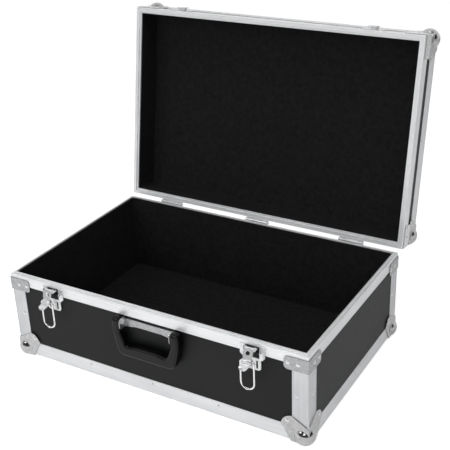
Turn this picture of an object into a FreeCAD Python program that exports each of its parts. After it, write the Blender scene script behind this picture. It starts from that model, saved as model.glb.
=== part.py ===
"""Guitar pedal case: a boarded case with aluminium edges, ball corners, a hinged lid and two latches.

Frame: origin at the centre of the floor board's underside, +X to the right along the length,
the latches and handle face -Y, +Z up. Lengths are in millimetres.
The lid's pieces are drawn closed and then swung open about the hinge pins, as it is photographed.
"""
import FreeCAD, Part
import math
import os
import Sketcher

Vector = FreeCAD.Vector

# Driving sizes: alias, value, what it is
SIZES = [
    ("width", 610, "length of the case over the aluminium"),
    ("depth", 390, "front to back over the aluminium"),
    ("base_height", 173, "underside of the sills to the top of the rim's tongue"),
    ("lid_height", 70, "parting shoulder to the top of the closed lid"),
    ("lid_lap", 3.2, "how far the lid's four faces stand out over the base's"),
    ("lid_open", 99.6, "angle the lid stands open, in degrees"),
    ("metal_thickness", 1.3, "thickness of the aluminium sections"),
    ("board_thickness", 5.2, "thickness of the laminated plywood"),
    ("felt_thickness", 1.3, "thickness of the lining"),
    ("sill_leg", 29.2, "leg of the edge angle along a sill"),
    ("post_leg", 29.7, "leg of the edge angle on a corner post"),
    ("corner_gap", 29.4, "how far the edge angles stop short of a ball corner's point"),
    ("bead_width", 2.2, "width of the raised bead along a leg's free edge"),
    ("bead_rise", 0.4, "how far bead and corner stand proud of the leg's flat"),
    ("corner_land", 3.0, "width of the raised land beside the outer corner"),
    ("edge_round", 2.2, "radius along the outer corner of an edge angle"),
    ("bead_round", 0.8, "radius on the bead and the rim's outer edges"),
    ("tongue_round", 0.6, "radius on the tongue's two edges"),
    ("rim_leg", 20.5, "outer leg of the base rim, below the shoulder"),
    ("rim_inner_leg", 6, "inner leg of both rims, from the shoulder"),
    ("shoulder_drop", 2.5, "tongue top down to the shoulder"),
    ("tongue_width", 3.4, "thickness of the tongue"),
    ("tongue_gap", 0.4, "sideways clearance of the tongue in the lid's groove"),
    ("parting_gap", 0.3, "gap between the closed rims, shoulder and tongue alike"),
    ("lid_rim_leg", 23, "outer leg of the lid rim, from the shoulder"),
    ("hinge_back", 7.7, "hinge axis behind the rear faces"),
    ("hinge_drop", 3.8, "hinge axis below the tongue top"),
    ("hinge_inset", 99, "middle of an outer hinge from the end of the case"),
    ("hinge_width", 50, "width of a hinge leaf"),
    ("leaf", 1.5, "thickness of a hinge leaf"),
    ("leaf_height", 17, "height of a leaf on the rim's leg"),
    ("knuckle", 3.5, "outer radius of a hinge knuckle"),
    ("knuckle_gap", 0.2, "end gap between two knuckles"),
    ("hinge_pin", 2.0, "radius of a hinge pin"),
    ("pin_head", 2.9, "radius of a hinge pin's peened ends"),
    ("pin_head_height", 0.9, "height of a peened end"),
    ("running_gap", 0.05, "radial clearance of a pin in what turns on it"),
    ("ball", 19, "radius of a ball corner"),
    ("ball_inset", 11, "centre of the ball inside each outer face"),
    ("ball_wall", 1.4, "wall of the pressed ball"),
    ("petal", 1.2, "thickness of a ball corner's petals"),
    ("petal_seam", 31.6, "length of the seam that two petals share along an edge"),
    ("petal_long", 49.6, "reach of a petal along one edge at its tip"),
    ("petal_short", 30.5, "reach of a petal's tip the other way"),
    ("petal_tip", 43.2, "middle of the petal's rounded tip, along both edges"),
    ("petal_rivet", 38.5, "rivet in a petal, along both edges"),
    ("lid_petal_rivet", 26, "rivet in a lid's side petal, below the lid's top"),
    ("brace", 1.2, "thickness of a rim brace"),
    ("brace_leg", 43.5, "leg of a rim brace"),
    ("brace_width", 24.5, "width of a rim brace"),
    ("brace_margin", 7, "shoulder to the nearer edge of a brace"),
    ("brace_gap", 1.0, "gap between a lid brace and the ball corner's petals"),
    ("brace_round", 7, "radius on a brace's four tips"),
    ("brace_rivet_near", 18.7, "first rivet of a brace leg from the corner"),
    ("brace_rivet_far", 36.8, "second rivet of a brace leg from the corner"),
    ("rivet", 3.1, "radius of a rivet head"),
    ("rivet_height", 1.1, "height of a rivet head"),
    ("post_rivet_inset", 21, "rivet on a post leg from the corner"),
    ("sill_rivet_inset", 19, "rivet on a sill leg from the corner"),
    ("sill_rivet_end", 169, "outer rivets of a long sill from the end of the case"),
    ("latch_inset", 99.4, "middle of a latch from the end of the case"),
    ("latch_sheet", 1.2, "thickness of the latch plate and catch plate"),
    ("latch_half", 23, "half width of the latch plate at the top"),
    ("latch_foot_half", 15.5, "half width of the latch plate at the foot"),
    ("latch_drop", 7.1, "shoulder to the top of the latch plate"),
    ("latch_straight", 18.1, "full-width part of the latch plate"),
    ("latch_taper", 25.1, "top of the latch plate to where it has narrowed"),
    ("latch_height", 44.1, "height of the latch plate"),
    ("latch_round", 6, "radius on the foot's corners"),
    ("latch_rivet", 15.5, "rivets to either side of a latch's middle"),
    ("latch_rivet_drop", 11.5, "rivets of the latch plate below its top"),
    ("latch_slot", 8.2, "middle of a slot in the latch plate's foot from the plate's middle"),
    ("latch_slot_width", 3.4, "width of such a slot"),
    ("latch_slot_height", 15, "height of such a slot"),
    ("latch_slot_margin", 3, "foot of the latch plate to its slots"),
    ("seat_margin", 3.5, "margin round the latch plate's pressed back"),
    ("lever_out", 11.2, "lever pivot in front of the front face"),
    ("lever_drop", 5.7, "shoulder to the lever pivot"),
    ("lever_half", 9.0, "half width of the lever"),
    ("lever_sheet", 1.4, "thickness of the lever"),
    ("lever_reach", 21.54, "lever pivot to the bail's wire"),
    ("lever_tilt", 21.8, "lean of the unlatched lever, in degrees"),
    ("lever_press", 13.8, "angle the lever goes in from there when it is latched, in degrees"),
    ("lever_barrel", 2.6, "outer radius of the lever's pivot barrel"),
    ("bail_barrel", 4.2, "outer radius of the barrel round the bail"),
    ("lip_out", 11.6, "thumb lip's bend in front of the two barrels' line"),
    ("lip_drop", 9.4, "thumb lip's bend below the bail's wire"),
    ("lip_end_out", 11.0, "thumb lip's end in front of the barrels' line"),
    ("lip_end_drop", 13.4, "thumb lip's end below the bail's wire"),
    ("lip_round", 3.5, "radius on the thumb lip's two corners"),
    ("lock_hole", 3.0, "radius of the padlock hole in the lever"),
    ("lock_hole_drop", 7.6, "padlock hole below the lever pivot"),
    ("latch_pin", 1.5, "radius of a lever's pivot pin"),
    ("ear_gap", 0.2, "side clearance of the lever between the ears"),
    ("ear", 1.2, "thickness of an ear"),
    ("ear_round", 3.8, "radius of an ear about the pivot"),
    ("wire", 1.7, "radius of the bail's wire"),
    ("bail_half", 12.3, "centre of a bail leg from the middle"),
    ("bail_length", 52.6, "bail's pivot to the centre of its far end"),
    ("bail_elbow", 3.2, "bend radius of the bail's upper corners"),
    ("weld", 1.95, "radius of the bail's weld bead"),
    ("weld_length", 2.6, "length of the bail's weld bead"),
    ("catch_wire_out", 3.3, "latched wire's centre in front of the lid's front face"),
    ("catch_gap", 0.3, "clearance round the latched wire"),
    ("catch_lip", 1.2, "thickness of the catch's lip"),
    ("catch_lip_half", 7, "half width of the catch's lip"),
    ("catch_margin", 2, "parting shoulder to the catch plate"),
    ("catch_plate_height", 22.5, "height of the catch plate"),
    ("catch_rivet", 17, "rivets to either side of a catch's middle"),
    ("handle_offset", 3, "handle's middle to the right of the case's middle"),
    ("handle_half", 68, "half width of the handle at the pivots"),
    ("handle_foot_half", 58, "half width of the handle at the grip"),
    ("handle_arm", 15.6, "width of an arm"),
    ("handle_out", 9, "handle pivot in front of the front face"),
    ("handle_drop", 27.9, "shoulder to the handle pivot"),
    ("handle_rise", 8.4, "handle pivot to the round top of the arms"),
    ("handle_straight", 20.3, "handle pivot to where the arms start to slope in"),
    ("grip_reach", 46.3, "handle pivot to the upper side of the grip at its ends"),
    ("grip_height", 19.2, "height of the grip at its ends"),
    ("grip_crown", 3.6, "how much higher the grip is in the middle"),
    ("grip_crown_half", 20, "half length of the grip's crown"),
    ("grip_crown_round", 60, "outline radius where the crown slopes off"),
    ("handle_thick", 16, "thickness of the handle"),
    ("handle_round", 17, "outline radius of the handle's outer corners"),
    ("handle_top_round", 6.3, "outline radius of the arms' tops"),
    ("handle_inner_round", 8, "outline radius of the handle's inner corners"),
    ("handle_edge", 4.5, "radius along the handle's edges"),
    ("handle_swing_gap", 0.4, "gap between an arm and its ear"),
    ("strap", 1.5, "thickness of the handle's steel strap"),
    ("strap_drop", 10.3, "handle pivot to the strap's lower edge"),
    ("strap_rise", 2.1, "handle pivot to the strap's upper edge"),
    ("strap_ear_drop", 14.8, "handle pivot to a strap ear's lower edge"),
    ("strap_ear_rise", 5.6, "handle pivot to a strap ear's upper edge"),
    ("strap_ear_out", 16, "reach of a strap ear in front of the front face"),
    ("strap_flare", 26, "length over which the strap flares to its ear"),
    ("strap_ear_round", 6, "radius on a strap ear's two corners"),
    ("handle_pin", 3, "radius of a handle pivot pin"),
    ("handle_pin_head", 5, "radius of a handle pivot pin's head"),
    ("handle_pin_head_height", 1.5, "height of a handle pivot pin's head"),
    ("handle_pin_reach", 10, "length of a handle pivot pin inside the arm"),
    ("overrun", 5, "how far a cutting tool passes what it cuts"),
]

doc = FreeCAD.newDocument("guitar_pedal_case")
dims = doc.addObject("Spreadsheet::Sheet", "dims")
for row, (alias, value, note) in enumerate(SIZES, start=1):
    dims.set(f"A{row}", alias)
    dims.set(f"B{row}", str(value))
    dims.set(f"C{row}", note)
    dims.setAlias(f"B{row}", alias)
doc.recompute()

# Levels and faces, as expressions of the driving sizes
HALF_WIDTH = "dims.width / 2"
HALF_DEPTH = "dims.depth / 2"
LID_HALF_WIDTH = "(dims.width / 2 + dims.lid_lap)"
LID_HALF_DEPTH = "(dims.depth / 2 + dims.lid_lap)"
WALL = "(dims.board_thickness + 2 * dims.metal_thickness)"
TONGUE_TOP = "(dims.base_height - dims.metal_thickness)"
SHOULDER = f"({TONGUE_TOP} - dims.shoulder_drop)"
LID_PARTING = f"({SHOULDER} + dims.parting_gap)"
GROOVE_TOP = f"({TONGUE_TOP} + dims.parting_gap)"
LID_TOP = f"({SHOULDER} + dims.lid_height)"
RIM_INNER_LOW = f"({SHOULDER} - dims.rim_inner_leg)"
LID_INNER_HIGH = f"({SHOULDER} + dims.rim_inner_leg)"
TONGUE_START = f"({WALL} - dims.tongue_width)"
BOARD_OUT_X = f"({HALF_WIDTH} - dims.metal_thickness)"
BOARD_OUT_Y = f"({HALF_DEPTH} - dims.metal_thickness)"
BOARD_IN_X = f"({BOARD_OUT_X} - dims.board_thickness)"
BOARD_IN_Y = f"({BOARD_OUT_Y} - dims.board_thickness)"
HINGE_Y = f"({HALF_DEPTH} + dims.hinge_back)"
HINGE_Z = f"({TONGUE_TOP} - dims.hinge_drop)"
HINGE_X = f"({HALF_WIDTH} - dims.hinge_inset)"
LATCH_X = f"({HALF_WIDTH} - dims.latch_inset)"
LATCH_TOP = f"({SHOULDER} - dims.latch_drop)"
LATCH_FOOT = f"({LATCH_TOP} - dims.latch_height)"
LEVER_UP = f"({SHOULDER} - dims.lever_drop)"
HANDLE_UP = f"({SHOULDER} - dims.handle_drop)"
HANDLE_TOP = f"({HANDLE_UP} + dims.handle_rise)"
GRIP_TOP = f"({HANDLE_UP} - dims.grip_reach)"
GRIP_BOTTOM = f"({GRIP_TOP} - dims.grip_height)"
STRAP_HALF = "(dims.handle_half - dims.handle_arm - dims.handle_swing_gap)"
STRAP_LOW = f"({HANDLE_UP} - dims.strap_drop)"
STRAP_TOP = f"({HANDLE_UP} + dims.strap_rise)"
EAR_LOW = f"({HANDLE_UP} - dims.strap_ear_drop)"
EAR_TOP = f"({HANDLE_UP} + dims.strap_ear_rise)"

nodes = []


def value(expression):
    """The number an expression stands for now."""
    return float(dims.evalExpression(expression))


def bind(thing, **expressions):
    """Ties properties to the sheet; a double underscore in a name stands for a dot."""
    for name, expression in expressions.items():
        thing.setExpression(name.replace("__", "."), expression)
    return thing


def node(thing, label):
    """Names a finished piece."""
    thing.Label = label
    nodes.append(thing)
    return thing


def swing_open(thing):
    """Swings a piece of the closed lid about the hinge pins to the open rest position."""
    thing.Placement = FreeCAD.Placement(Vector(), FreeCAD.Rotation(Vector(-1, 0, 0), value("dims.lid_open")))
    angle = "dims.lid_open * 1 deg"
    bind(thing,
         Placement__Rotation__Angle=angle,
         Placement__Base__y=f"{HINGE_Y} - ({HINGE_Y} * cos({angle}) + {HINGE_Z} * sin({angle}))",
         Placement__Base__z=f"{HINGE_Z} - ({HINGE_Z} * cos({angle}) - {HINGE_Y} * sin({angle}))")
    return thing


def cube(low, high):
    """A Part box between two corners given as expressions."""
    box = doc.addObject("Part::Box", "cube")
    for size, axis, first, last in zip(("Length", "Width", "Height"), "xyz", low, high):
        box.setExpression(size, f"({last}) - ({first})")
        box.setExpression(f"Placement.Base.{axis}", first)
    return box


def round_bar(radius, length, start, axis):
    """A Part cylinder from a start point along +X, +Y or +Z."""
    bar = doc.addObject("Part::Cylinder", "bar")
    bind(bar, Radius=radius, Height=length)
    bar.Placement.Rotation = FreeCAD.Rotation(Vector(0, 0, 1), Vector(*[int(a == axis) for a in "xyz"]))
    for name, place in zip("xyz", start):
        bar.setExpression(f"Placement.Base.{name}", place)
    return bar


def fuse(things):
    joined = doc.addObject("Part::MultiFuse", "fuse")
    joined.Shapes = things
    return joined


def cut(base, tool):
    trimmed = doc.addObject("Part::Cut", "cut")
    trimmed.Base = base
    trimmed.Tool = tool
    return trimmed


def compound(things):
    group = doc.addObject("Part::Compound", "group")
    group.Links = things
    return group


def mirrored(thing, normal):
    """A mirror copy through the case's middle."""
    copy = doc.addObject("Part::Mirroring", "mirror")
    copy.Source = thing
    copy.Normal = Vector(*normal)
    return copy


def padded(plane, points, length, lift="0", symmetric=True):
    """A body padded from a closed outline whose points are pairs of expressions."""
    body = doc.addObject("PartDesign::Body", "body")
    sketch = body.newObject("Sketcher::SketchObject", "sketch")
    face = [feature for feature in body.Origin.OriginFeatures if feature.Role == plane][0]
    sketch.AttachmentSupport = [(face, "")]
    sketch.MapMode = "FlatFace"
    sketch.setExpression("AttachmentOffset.Base.z", lift)
    places = [Vector(value(u), value(v), 0) for u, v in points]
    count = len(points)
    for i, place in enumerate(places):
        sketch.addGeometry(Part.LineSegment(place, places[(i + 1) % count]))
    for i in range(count):
        sketch.addConstraint(Sketcher.Constraint("Coincident", i, 2, (i + 1) % count, 1))
    for i, (pair, place) in enumerate(zip(points, places)):
        for kind, expression, number in zip(("DistanceX", "DistanceY"), pair, place):
            index = sketch.addConstraint(Sketcher.Constraint(kind, i, 1, number))
            sketch.setExpression(f"Constraints[{index}]", expression)
    pad = body.newObject("PartDesign::Pad", "pad")
    pad.Profile = sketch
    pad.SideType = "Symmetric" if symmetric else "One side"
    pad.setExpression("Length", length)
    doc.recompute()
    return body


def rounded(body, radius, wanted):
    """Fillets the edges of a body whose middle point passes a test."""
    solid = body.Tip
    names = []
    for index, edge in enumerate(solid.Shape.Edges, start=1):
        middle = edge.valueAt((edge.FirstParameter + edge.LastParameter) / 2)
        if wanted(edge, middle):
            names.append(f"Edge{index}")
    fillet = body.newObject("PartDesign::Fillet", "fillet")
    fillet.Base = (solid, names)
    fillet.setExpression("Radius", radius)
    doc.recompute()
    return body


def near(a, b):
    return abs(a - b) < value("dims.tongue_gap") / 4


def along_bar(direction, places):
    """A test for the long edges of a bar that run through given cross-section points."""
    across = [axis for axis in "xyz" if axis != direction]
    targets = [(value(first), value(second)) for first, second in places]

    def wanted(edge, middle):
        run = edge.tangentAt(edge.FirstParameter)
        if abs(getattr(run, direction)) < 1 - 1e-6:
            return False
        place = [getattr(middle, axis) for axis in across]
        return any(near(place[0], u) and near(place[1], v) for u, v in targets)
    return wanted


def block(low, high):
    """A rectangular board as a body, so that it can be placed as a whole."""
    points = [(low[0], low[1]), (high[0], low[1]), (high[0], high[1]), (low[0], high[1])]
    return padded("XY_Plane", points, f"({high[2]}) - ({low[2]})", lift=low[2], symmetric=False)


def four_sides(half_x, half_y):
    """For each side: its section's plane, which way it runs, where its outer face lies, its length."""
    return {
        "front": ("YZ_Plane", "x", half_y, -1, f"(2 * {half_x})"),
        "back": ("YZ_Plane", "x", half_y, 1, f"(2 * {half_x})"),
        "left": ("XZ_Plane", "y", half_x, -1, f"(2 * {half_y})"),
        "right": ("XZ_Plane", "y", half_x, 1, f"(2 * {half_y})"),
    }


BASE_SIDES = four_sides(f"({HALF_WIDTH})", f"({HALF_DEPTH})")
LID_SIDES = four_sides(LID_HALF_WIDTH, LID_HALF_DEPTH)


def from_face(half, sign, inward):
    """A coordinate that lies a distance inward of an outer face."""
    return f"{half} - ({inward})" if sign > 0 else f"({inward}) - {half}"


def angle_section(leg_u, leg_v):
    """Cross-section of a beaded edge angle: distances inward from its outer corner."""
    land, rise, bead, metal = "dims.corner_land", "dims.bead_rise", "dims.bead_width", "dims.metal_thickness"
    return [
        ("0", "0"), (land, "0"), (land, rise), (f"{leg_u} - {bead}", rise), (f"{leg_u} - {bead}", "0"),
        (leg_u, "0"), (leg_u, metal), (metal, metal), (metal, leg_v), ("0", leg_v),
        ("0", f"{leg_v} - {bead}"), (rise, f"{leg_v} - {bead}"), (rise, land), ("0", land)]


def edge_angle(side, corner_z, upward):
    """An edge angle along one side, with its outer corner at a level and its legs up or down."""
    plane, run, half, sign, length = side

    def place(inward, rise):
        return from_face(half, sign, inward), f"({corner_z}) + {upward} * ({rise})"
    leg = "dims.sill_leg"
    points = [place(u, v) for u, v in angle_section(leg, leg)]
    body = padded(plane, points, f"{length} - 2 * dims.corner_gap")
    body = rounded(body, "dims.edge_round", along_bar(run, [place("0", "0")]))
    return rounded(body, "dims.bead_round", along_bar(run, [place(leg, "0"), place("0", leg)]))


def corner_post(sign_x, sign_y, low, high, half_x=HALF_WIDTH, half_y=HALF_DEPTH):
    """An upright edge angle at one corner, between two levels."""
    def place(inward_x, inward_y):
        return from_face(half_x, sign_x, inward_x), from_face(half_y, sign_y, inward_y)
    leg = "dims.post_leg"
    points = [place(u, v) for u, v in angle_section(leg, leg)]
    body = padded("XY_Plane", points, f"({high}) - ({low})", lift=low, symmetric=False)
    body = rounded(body, "dims.edge_round", along_bar("z", [place("0", "0")]))
    return rounded(body, "dims.bead_round", along_bar("z", [place(leg, "0"), place("0", leg)]))


def base_rim_section():
    """Tongued rim: inward distance and level; the board stands between its legs."""
    low = f"({SHOULDER} - dims.rim_leg)"
    land, rise = f"({SHOULDER} - dims.corner_land)", "dims.bead_rise"
    bead_top = f"({low} + dims.bead_width)"
    web = f"({SHOULDER} - dims.metal_thickness)"
    inner = f"({WALL} - dims.metal_thickness)"
    points = [
        ("0", low), ("0", bead_top), (rise, bead_top), (rise, land), ("0", land), ("0", SHOULDER),
        (TONGUE_START, SHOULDER), (TONGUE_START, TONGUE_TOP), (WALL, TONGUE_TOP), (WALL, RIM_INNER_LOW),
        (inner, RIM_INNER_LOW), (inner, web), ("dims.metal_thickness", web), ("dims.metal_thickness", low)]
    soft = [("0", low), ("0", SHOULDER)]
    fine = [(TONGUE_START, TONGUE_TOP), (WALL, TONGUE_TOP)]
    return points, soft, fine


def lid_rim_section():
    """Grooved rim that closes over the tongue: inward distance and closed level."""
    high = f"({SHOULDER} + dims.lid_rim_leg)"
    land, rise = f"({LID_PARTING} + dims.corner_land)", "dims.bead_rise"
    bead_low = f"({high} - dims.bead_width)"
    web = f"({GROOVE_TOP} + dims.metal_thickness)"
    wall = f"({WALL} + dims.lid_lap)"
    inner = f"({wall} - dims.metal_thickness)"
    skirt = f"({TONGUE_START} + dims.lid_lap - dims.tongue_gap)"
    points = [
        ("0", high), ("0", bead_low), (rise, bead_low), (rise, land), ("0", land), ("0", LID_PARTING),
        (skirt, LID_PARTING), (skirt, GROOVE_TOP), (wall, GROOVE_TOP), (wall, LID_INNER_HIGH),
        (inner, LID_INNER_HIGH), (inner, web), ("dims.metal_thickness", web), ("dims.metal_thickness", high)]
    soft = [("0", high), ("0", LID_PARTING)]
    fine = [(wall, GROOVE_TOP)]
    return points, soft, fine


def rim(side, section):
    """A rim bar with its ends mitred at forty-five degrees."""
    plane, run, half, sign, length = side
    points, soft, fine = section
    wall = max((inward for inward, _ in points), key=value)

    def place(inward, level):
        return from_face(half, sign, inward), level
    body = padded(plane, [place(*point) for point in points], length)
    body = rounded(body, "dims.bead_round", along_bar(run, [place(*point) for point in soft]))
    body = rounded(body, "dims.tongue_round", along_bar(run, [place(*point) for point in fine]))
    wedge = doc.addObject("Part::Wedge", "mitre")
    levels = [level for _, level in points]
    low, high = min(levels, key=value), max(levels, key=value)
    outer, inner = half, f"({half} - {wall})"
    end, short_end = f"{length} / 2", f"({length} / 2 - {wall})"
    turn = {("x", -1): 180, ("x", 1): 0, ("y", -1): 90, ("y", 1): -90}[run, sign]
    bind(wedge, Ymin=inner, Ymax=outer, Zmin=low, Z2min=low, Zmax=high, Z2max=high,
         Xmin=f"-1 * {short_end}", Xmax=short_end, X2min=f"-1 * {end}", X2max=end)
    wedge.Placement.Rotation = FreeCAD.Rotation(Vector(0, 0, 1), turn)
    bar = doc.addObject("Part::Common", "rim")
    bar.Base = body
    bar.Tool = wedge
    return bar


def minus(expression):
    return f"-1 * ({expression})"


def boards(prefix, wall_low, wall_high, panel_low, panel_high, panel, lap, place):
    """Four walls and one full panel; the long walls run past the end walls."""
    out_x, out_y = f"({BOARD_OUT_X} + {lap})", f"({BOARD_OUT_Y} + {lap})"
    node(place(block([minus(out_x), minus(out_y), panel_low], [out_x, out_y, panel_high])),
         f"{prefix}_{panel}_board")
    spans = {
        "front": ([minus(out_x), minus(out_y)], [out_x, minus(BOARD_IN_Y)]),
        "back": ([minus(out_x), BOARD_IN_Y], [out_x, out_y]),
        "left": ([minus(out_x), minus(BOARD_IN_Y)], [minus(BOARD_IN_X), BOARD_IN_Y]),
        "right": ([BOARD_IN_X, minus(BOARD_IN_Y)], [out_x, BOARD_IN_Y]),
    }
    for side, (low, high) in spans.items():
        node(place(block(low + [wall_low], high + [wall_high])), f"{prefix}_{side}_board")


def lining(wall_low, wall_high, floor_low, floor_high):
    """An open felt box inside the boards; the second pair of levels bounds the hollow."""
    outer = cube([minus(BOARD_IN_X), minus(BOARD_IN_Y), wall_low], [BOARD_IN_X, BOARD_IN_Y, wall_high])
    inner_x, inner_y = f"({BOARD_IN_X} - dims.felt_thickness)", f"({BOARD_IN_Y} - dims.felt_thickness)"
    hollow = cube([minus(inner_x), minus(inner_y), floor_low], [inner_x, inner_y, floor_high])
    return cut(outer, hollow)


def stay(thing):
    return thing


def brace(low, half_x, half_y):
    """Bent strip round one upper corner, its legs' tips rounded."""
    face_x, face_y = f"({half_x} + dims.brace)", f"({half_y} + dims.brace)"
    tip_x, tip_y = f"({half_x} - dims.brace_leg)", f"({half_y} - dims.brace_leg)"
    points = [
        (tip_x, half_y), (half_x, half_y), (half_x, tip_y),
        (face_x, tip_y), (face_x, face_y), (tip_x, face_y)]
    body = padded("XY_Plane", points, "dims.brace_width", lift=low, symmetric=False)
    ends_x, ends_y = value(tip_x), value(tip_y)
    thick = value("dims.brace")

    def tip(edge, middle):
        across = abs(edge.Length - thick) < thick / 10
        return across and (near(middle.x, ends_x) or near(middle.y, ends_y))
    body = rounded(body, "dims.brace_round", tip)
    return rounded(body, "dims.bead_round", along_bar("z", [(face_x, face_y)]))


def four_corners(thing):
    """A piece at the right rear corner and its three mirror images."""
    front = mirrored(thing, (0, 1, 0))
    return [thing, front, mirrored(thing, (1, 0, 0)), mirrored(front, (1, 0, 0))]


def ball_corner(height):
    """Pressed corner at the point (0, 0, 0) of a case in the positive directions, cut off at a height."""
    thick, seam = value("dims.petal"), value("dims.petal_seam")
    long, short, tip = value("dims.petal_long"), value("dims.petal_short"), value("dims.petal_tip")
    outline = [Vector(-thick, -thick, 0), Vector(-thick, seam, 0), Vector(short, long, 0)]
    back = [Vector(long, short, 0), Vector(seam, -thick, 0), Vector(-thick, -thick, 0)]
    edges = Part.makePolygon(outline).Edges + [Part.Arc(outline[-1], Vector(tip, tip, 0), back[0]).toShape()]
    edges += Part.makePolygon(back).Edges
    leaf = Part.Face(Part.Wire(edges)).extrude(Vector(0, 0, -thick))
    petals = [leaf]
    for turn in (120, 240):
        petals.append(leaf.rotated(Vector(), Vector(1, 1, 1), turn))
    inset, radius = value("dims.ball_inset"), value("dims.ball")
    centre = Vector(inset, inset, inset)
    shell = Part.makeSphere(radius, centre).fuse(petals)
    shell = shell.cut(Part.makeSphere(radius - value("dims.ball_wall"), centre))
    metal, size = value("dims.metal_thickness"), long + radius
    inside = Part.makeBox(size, size, size, Vector(metal, metal, metal))
    beyond = Part.makeBox(2 * size, 2 * size, size, Vector(-size / 2, -size / 2, height))
    return shell.cut([inside, beyond]).removeSplitter()


def at_corner(shape, sign_x, sign_y, level, upward, lap):
    """A corner-point shape moved to one corner of the case, outward by a lap."""
    moved = shape.copy()
    for flip, normal in ((sign_x > 0, (1, 0, 0)), (sign_y > 0, (0, 1, 0)), (upward < 0, (0, 0, 1))):
        if flip:
            moved = moved.mirror(Vector(), Vector(*normal))
    moved.translate(Vector(sign_x * (value(HALF_WIDTH) + lap), sign_y * (value(HALF_DEPTH) + lap), level))
    return Part.makeCompound([moved])


def feature(shape, label):
    """A piece whose shape is set directly."""
    thing = doc.addObject("Part::Feature", "piece")
    thing.Shape = shape
    return node(thing, label)


def rivet_head(x, y, z, out):
    """A domed head standing on a surface point, its crown towards the vector out."""
    radius, height = value("dims.rivet"), value("dims.rivet_height")
    dome = (radius ** 2 + height ** 2) / (2 * height)
    start = math.degrees(math.asin((dome - height) / dome))
    direction = Vector(*out)
    centre = Vector(x, y, z) - direction * (dome - height)
    return Part.makeSphere(dome, centre, direction, start, 90, 360)


CORNERS = [(sx, sy) for sy in (-1, 1) for sx in (-1, 1)]
CORNER_NAMES = {(-1, -1): "front_left", (1, -1): "front_right", (-1, 1): "back_left", (1, 1): "back_right"}


def brace_rivets(level, lap):
    """Two rivets in each leg of the four braces."""
    half_x, half_y, out = value(HALF_WIDTH) + lap, value(HALF_DEPTH) + lap, value("dims.brace")
    heads = []
    for sx, sy in CORNERS:
        for inset in (value("dims.brace_rivet_near"), value("dims.brace_rivet_far")):
            heads.append(rivet_head(sx * (half_x - inset), sy * (half_y + out), level, (0, sy, 0)))
            heads.append(rivet_head(sx * (half_x + out), sy * (half_y - inset), level, (sx, 0, 0)))
    return heads


def petal_rivets(face, upward, rise, lap):
    """One rivet in each petal of four ball corners whose points lie at the level face."""
    half_x, half_y = value(HALF_WIDTH) + lap, value(HALF_DEPTH) + lap
    inset, out = value("dims.petal_rivet"), value("dims.petal")
    heads = []
    for sx, sy in CORNERS:
        x, y, z = sx * (half_x - inset), sy * (half_y - inset), face + upward * rise
        heads.append(rivet_head(x, sy * (half_y + out), z, (0, sy, 0)))
        heads.append(rivet_head(sx * (half_x + out), y, z, (sx, 0, 0)))
        heads.append(rivet_head(x, y, face - upward * out, (0, 0, -upward)))
    return heads


def sill_rivets(face, upward, lap):
    """Rivets along the edge angles that frame the floor or the lid's top."""
    half_x, half_y = value(HALF_WIDTH) + lap, value(HALF_DEPTH) + lap
    inset, sunk = value("dims.sill_rivet_inset"), value("dims.bead_rise")
    spread = half_x - value("dims.sill_rivet_end")
    level = face + upward * inset
    heads = []
    for sign in (-1, 1):
        for x in (-spread, 0, spread):
            heads.append(rivet_head(x, sign * (half_y - sunk), level, (0, sign, 0)))
            heads.append(rivet_head(x, sign * (half_y - inset), face + upward * sunk, (0, 0, -upward)))
        heads.append(rivet_head(sign * (half_x - sunk), 0, level, (sign, 0, 0)))
        heads.append(rivet_head(sign * (half_x - inset), 0, face + upward * sunk, (0, 0, -upward)))
    return heads


def post_rivets():
    """One rivet in each leg of the base's corner posts."""
    half_x, half_y = value(HALF_WIDTH), value(HALF_DEPTH)
    inset, sunk = value("dims.post_rivet_inset"), value("dims.bead_rise")
    level = (value(POST_LOW) + value(POST_HIGH)) / 2
    heads = []
    for sx, sy in CORNERS:
        heads.append(rivet_head(sx * (half_x - inset), sy * (half_y - sunk), level, (0, sy, 0)))
        heads.append(rivet_head(sx * (half_x - sunk), sy * (half_y - inset), level, (sx, 0, 0)))
    return heads


# Where the base's corner posts start and end
POST_LOW = "(dims.corner_gap - dims.metal_thickness)"
POST_HIGH = f"({SHOULDER} - dims.rim_leg)"


def base_shell():
    """Boards, felt and aluminium of the lower half."""
    floor_top = "dims.board_thickness"
    web = f"({SHOULDER} - dims.metal_thickness)"
    boards("base", floor_top, web, "0", floor_top, "floor", "0", stay)
    felt_floor = "(dims.board_thickness + dims.felt_thickness)"
    node(lining(floor_top, RIM_INNER_LOW, felt_floor, f"{RIM_INNER_LOW} + dims.overrun"), "base_lining")
    for name, side in BASE_SIDES.items():
        node(rim(side, base_rim_section()), f"base_rim_{name}")
        node(edge_angle(side, minus("dims.metal_thickness"), 1), f"base_sill_{name}")
    for (sx, sy), name in CORNER_NAMES.items():
        node(corner_post(sx, sy, POST_LOW, POST_HIGH), f"base_post_{name}")
        whole = ball_corner(value(POST_HIGH))
        feature(at_corner(whole, sx, sy, -value("dims.metal_thickness"), 1, 0), f"base_ball_corner_{name}")
    brace_low = f"({SHOULDER} - dims.brace_margin - dims.brace_width)"
    node(compound(four_corners(brace(brace_low, HALF_WIDTH, HALF_DEPTH))), "base_rim_braces")


# From the lid's top to just clear of its braces
ABOVE_BRACE = "dims.lid_height - dims.brace_margin - dims.brace_width - dims.brace_gap"


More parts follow.
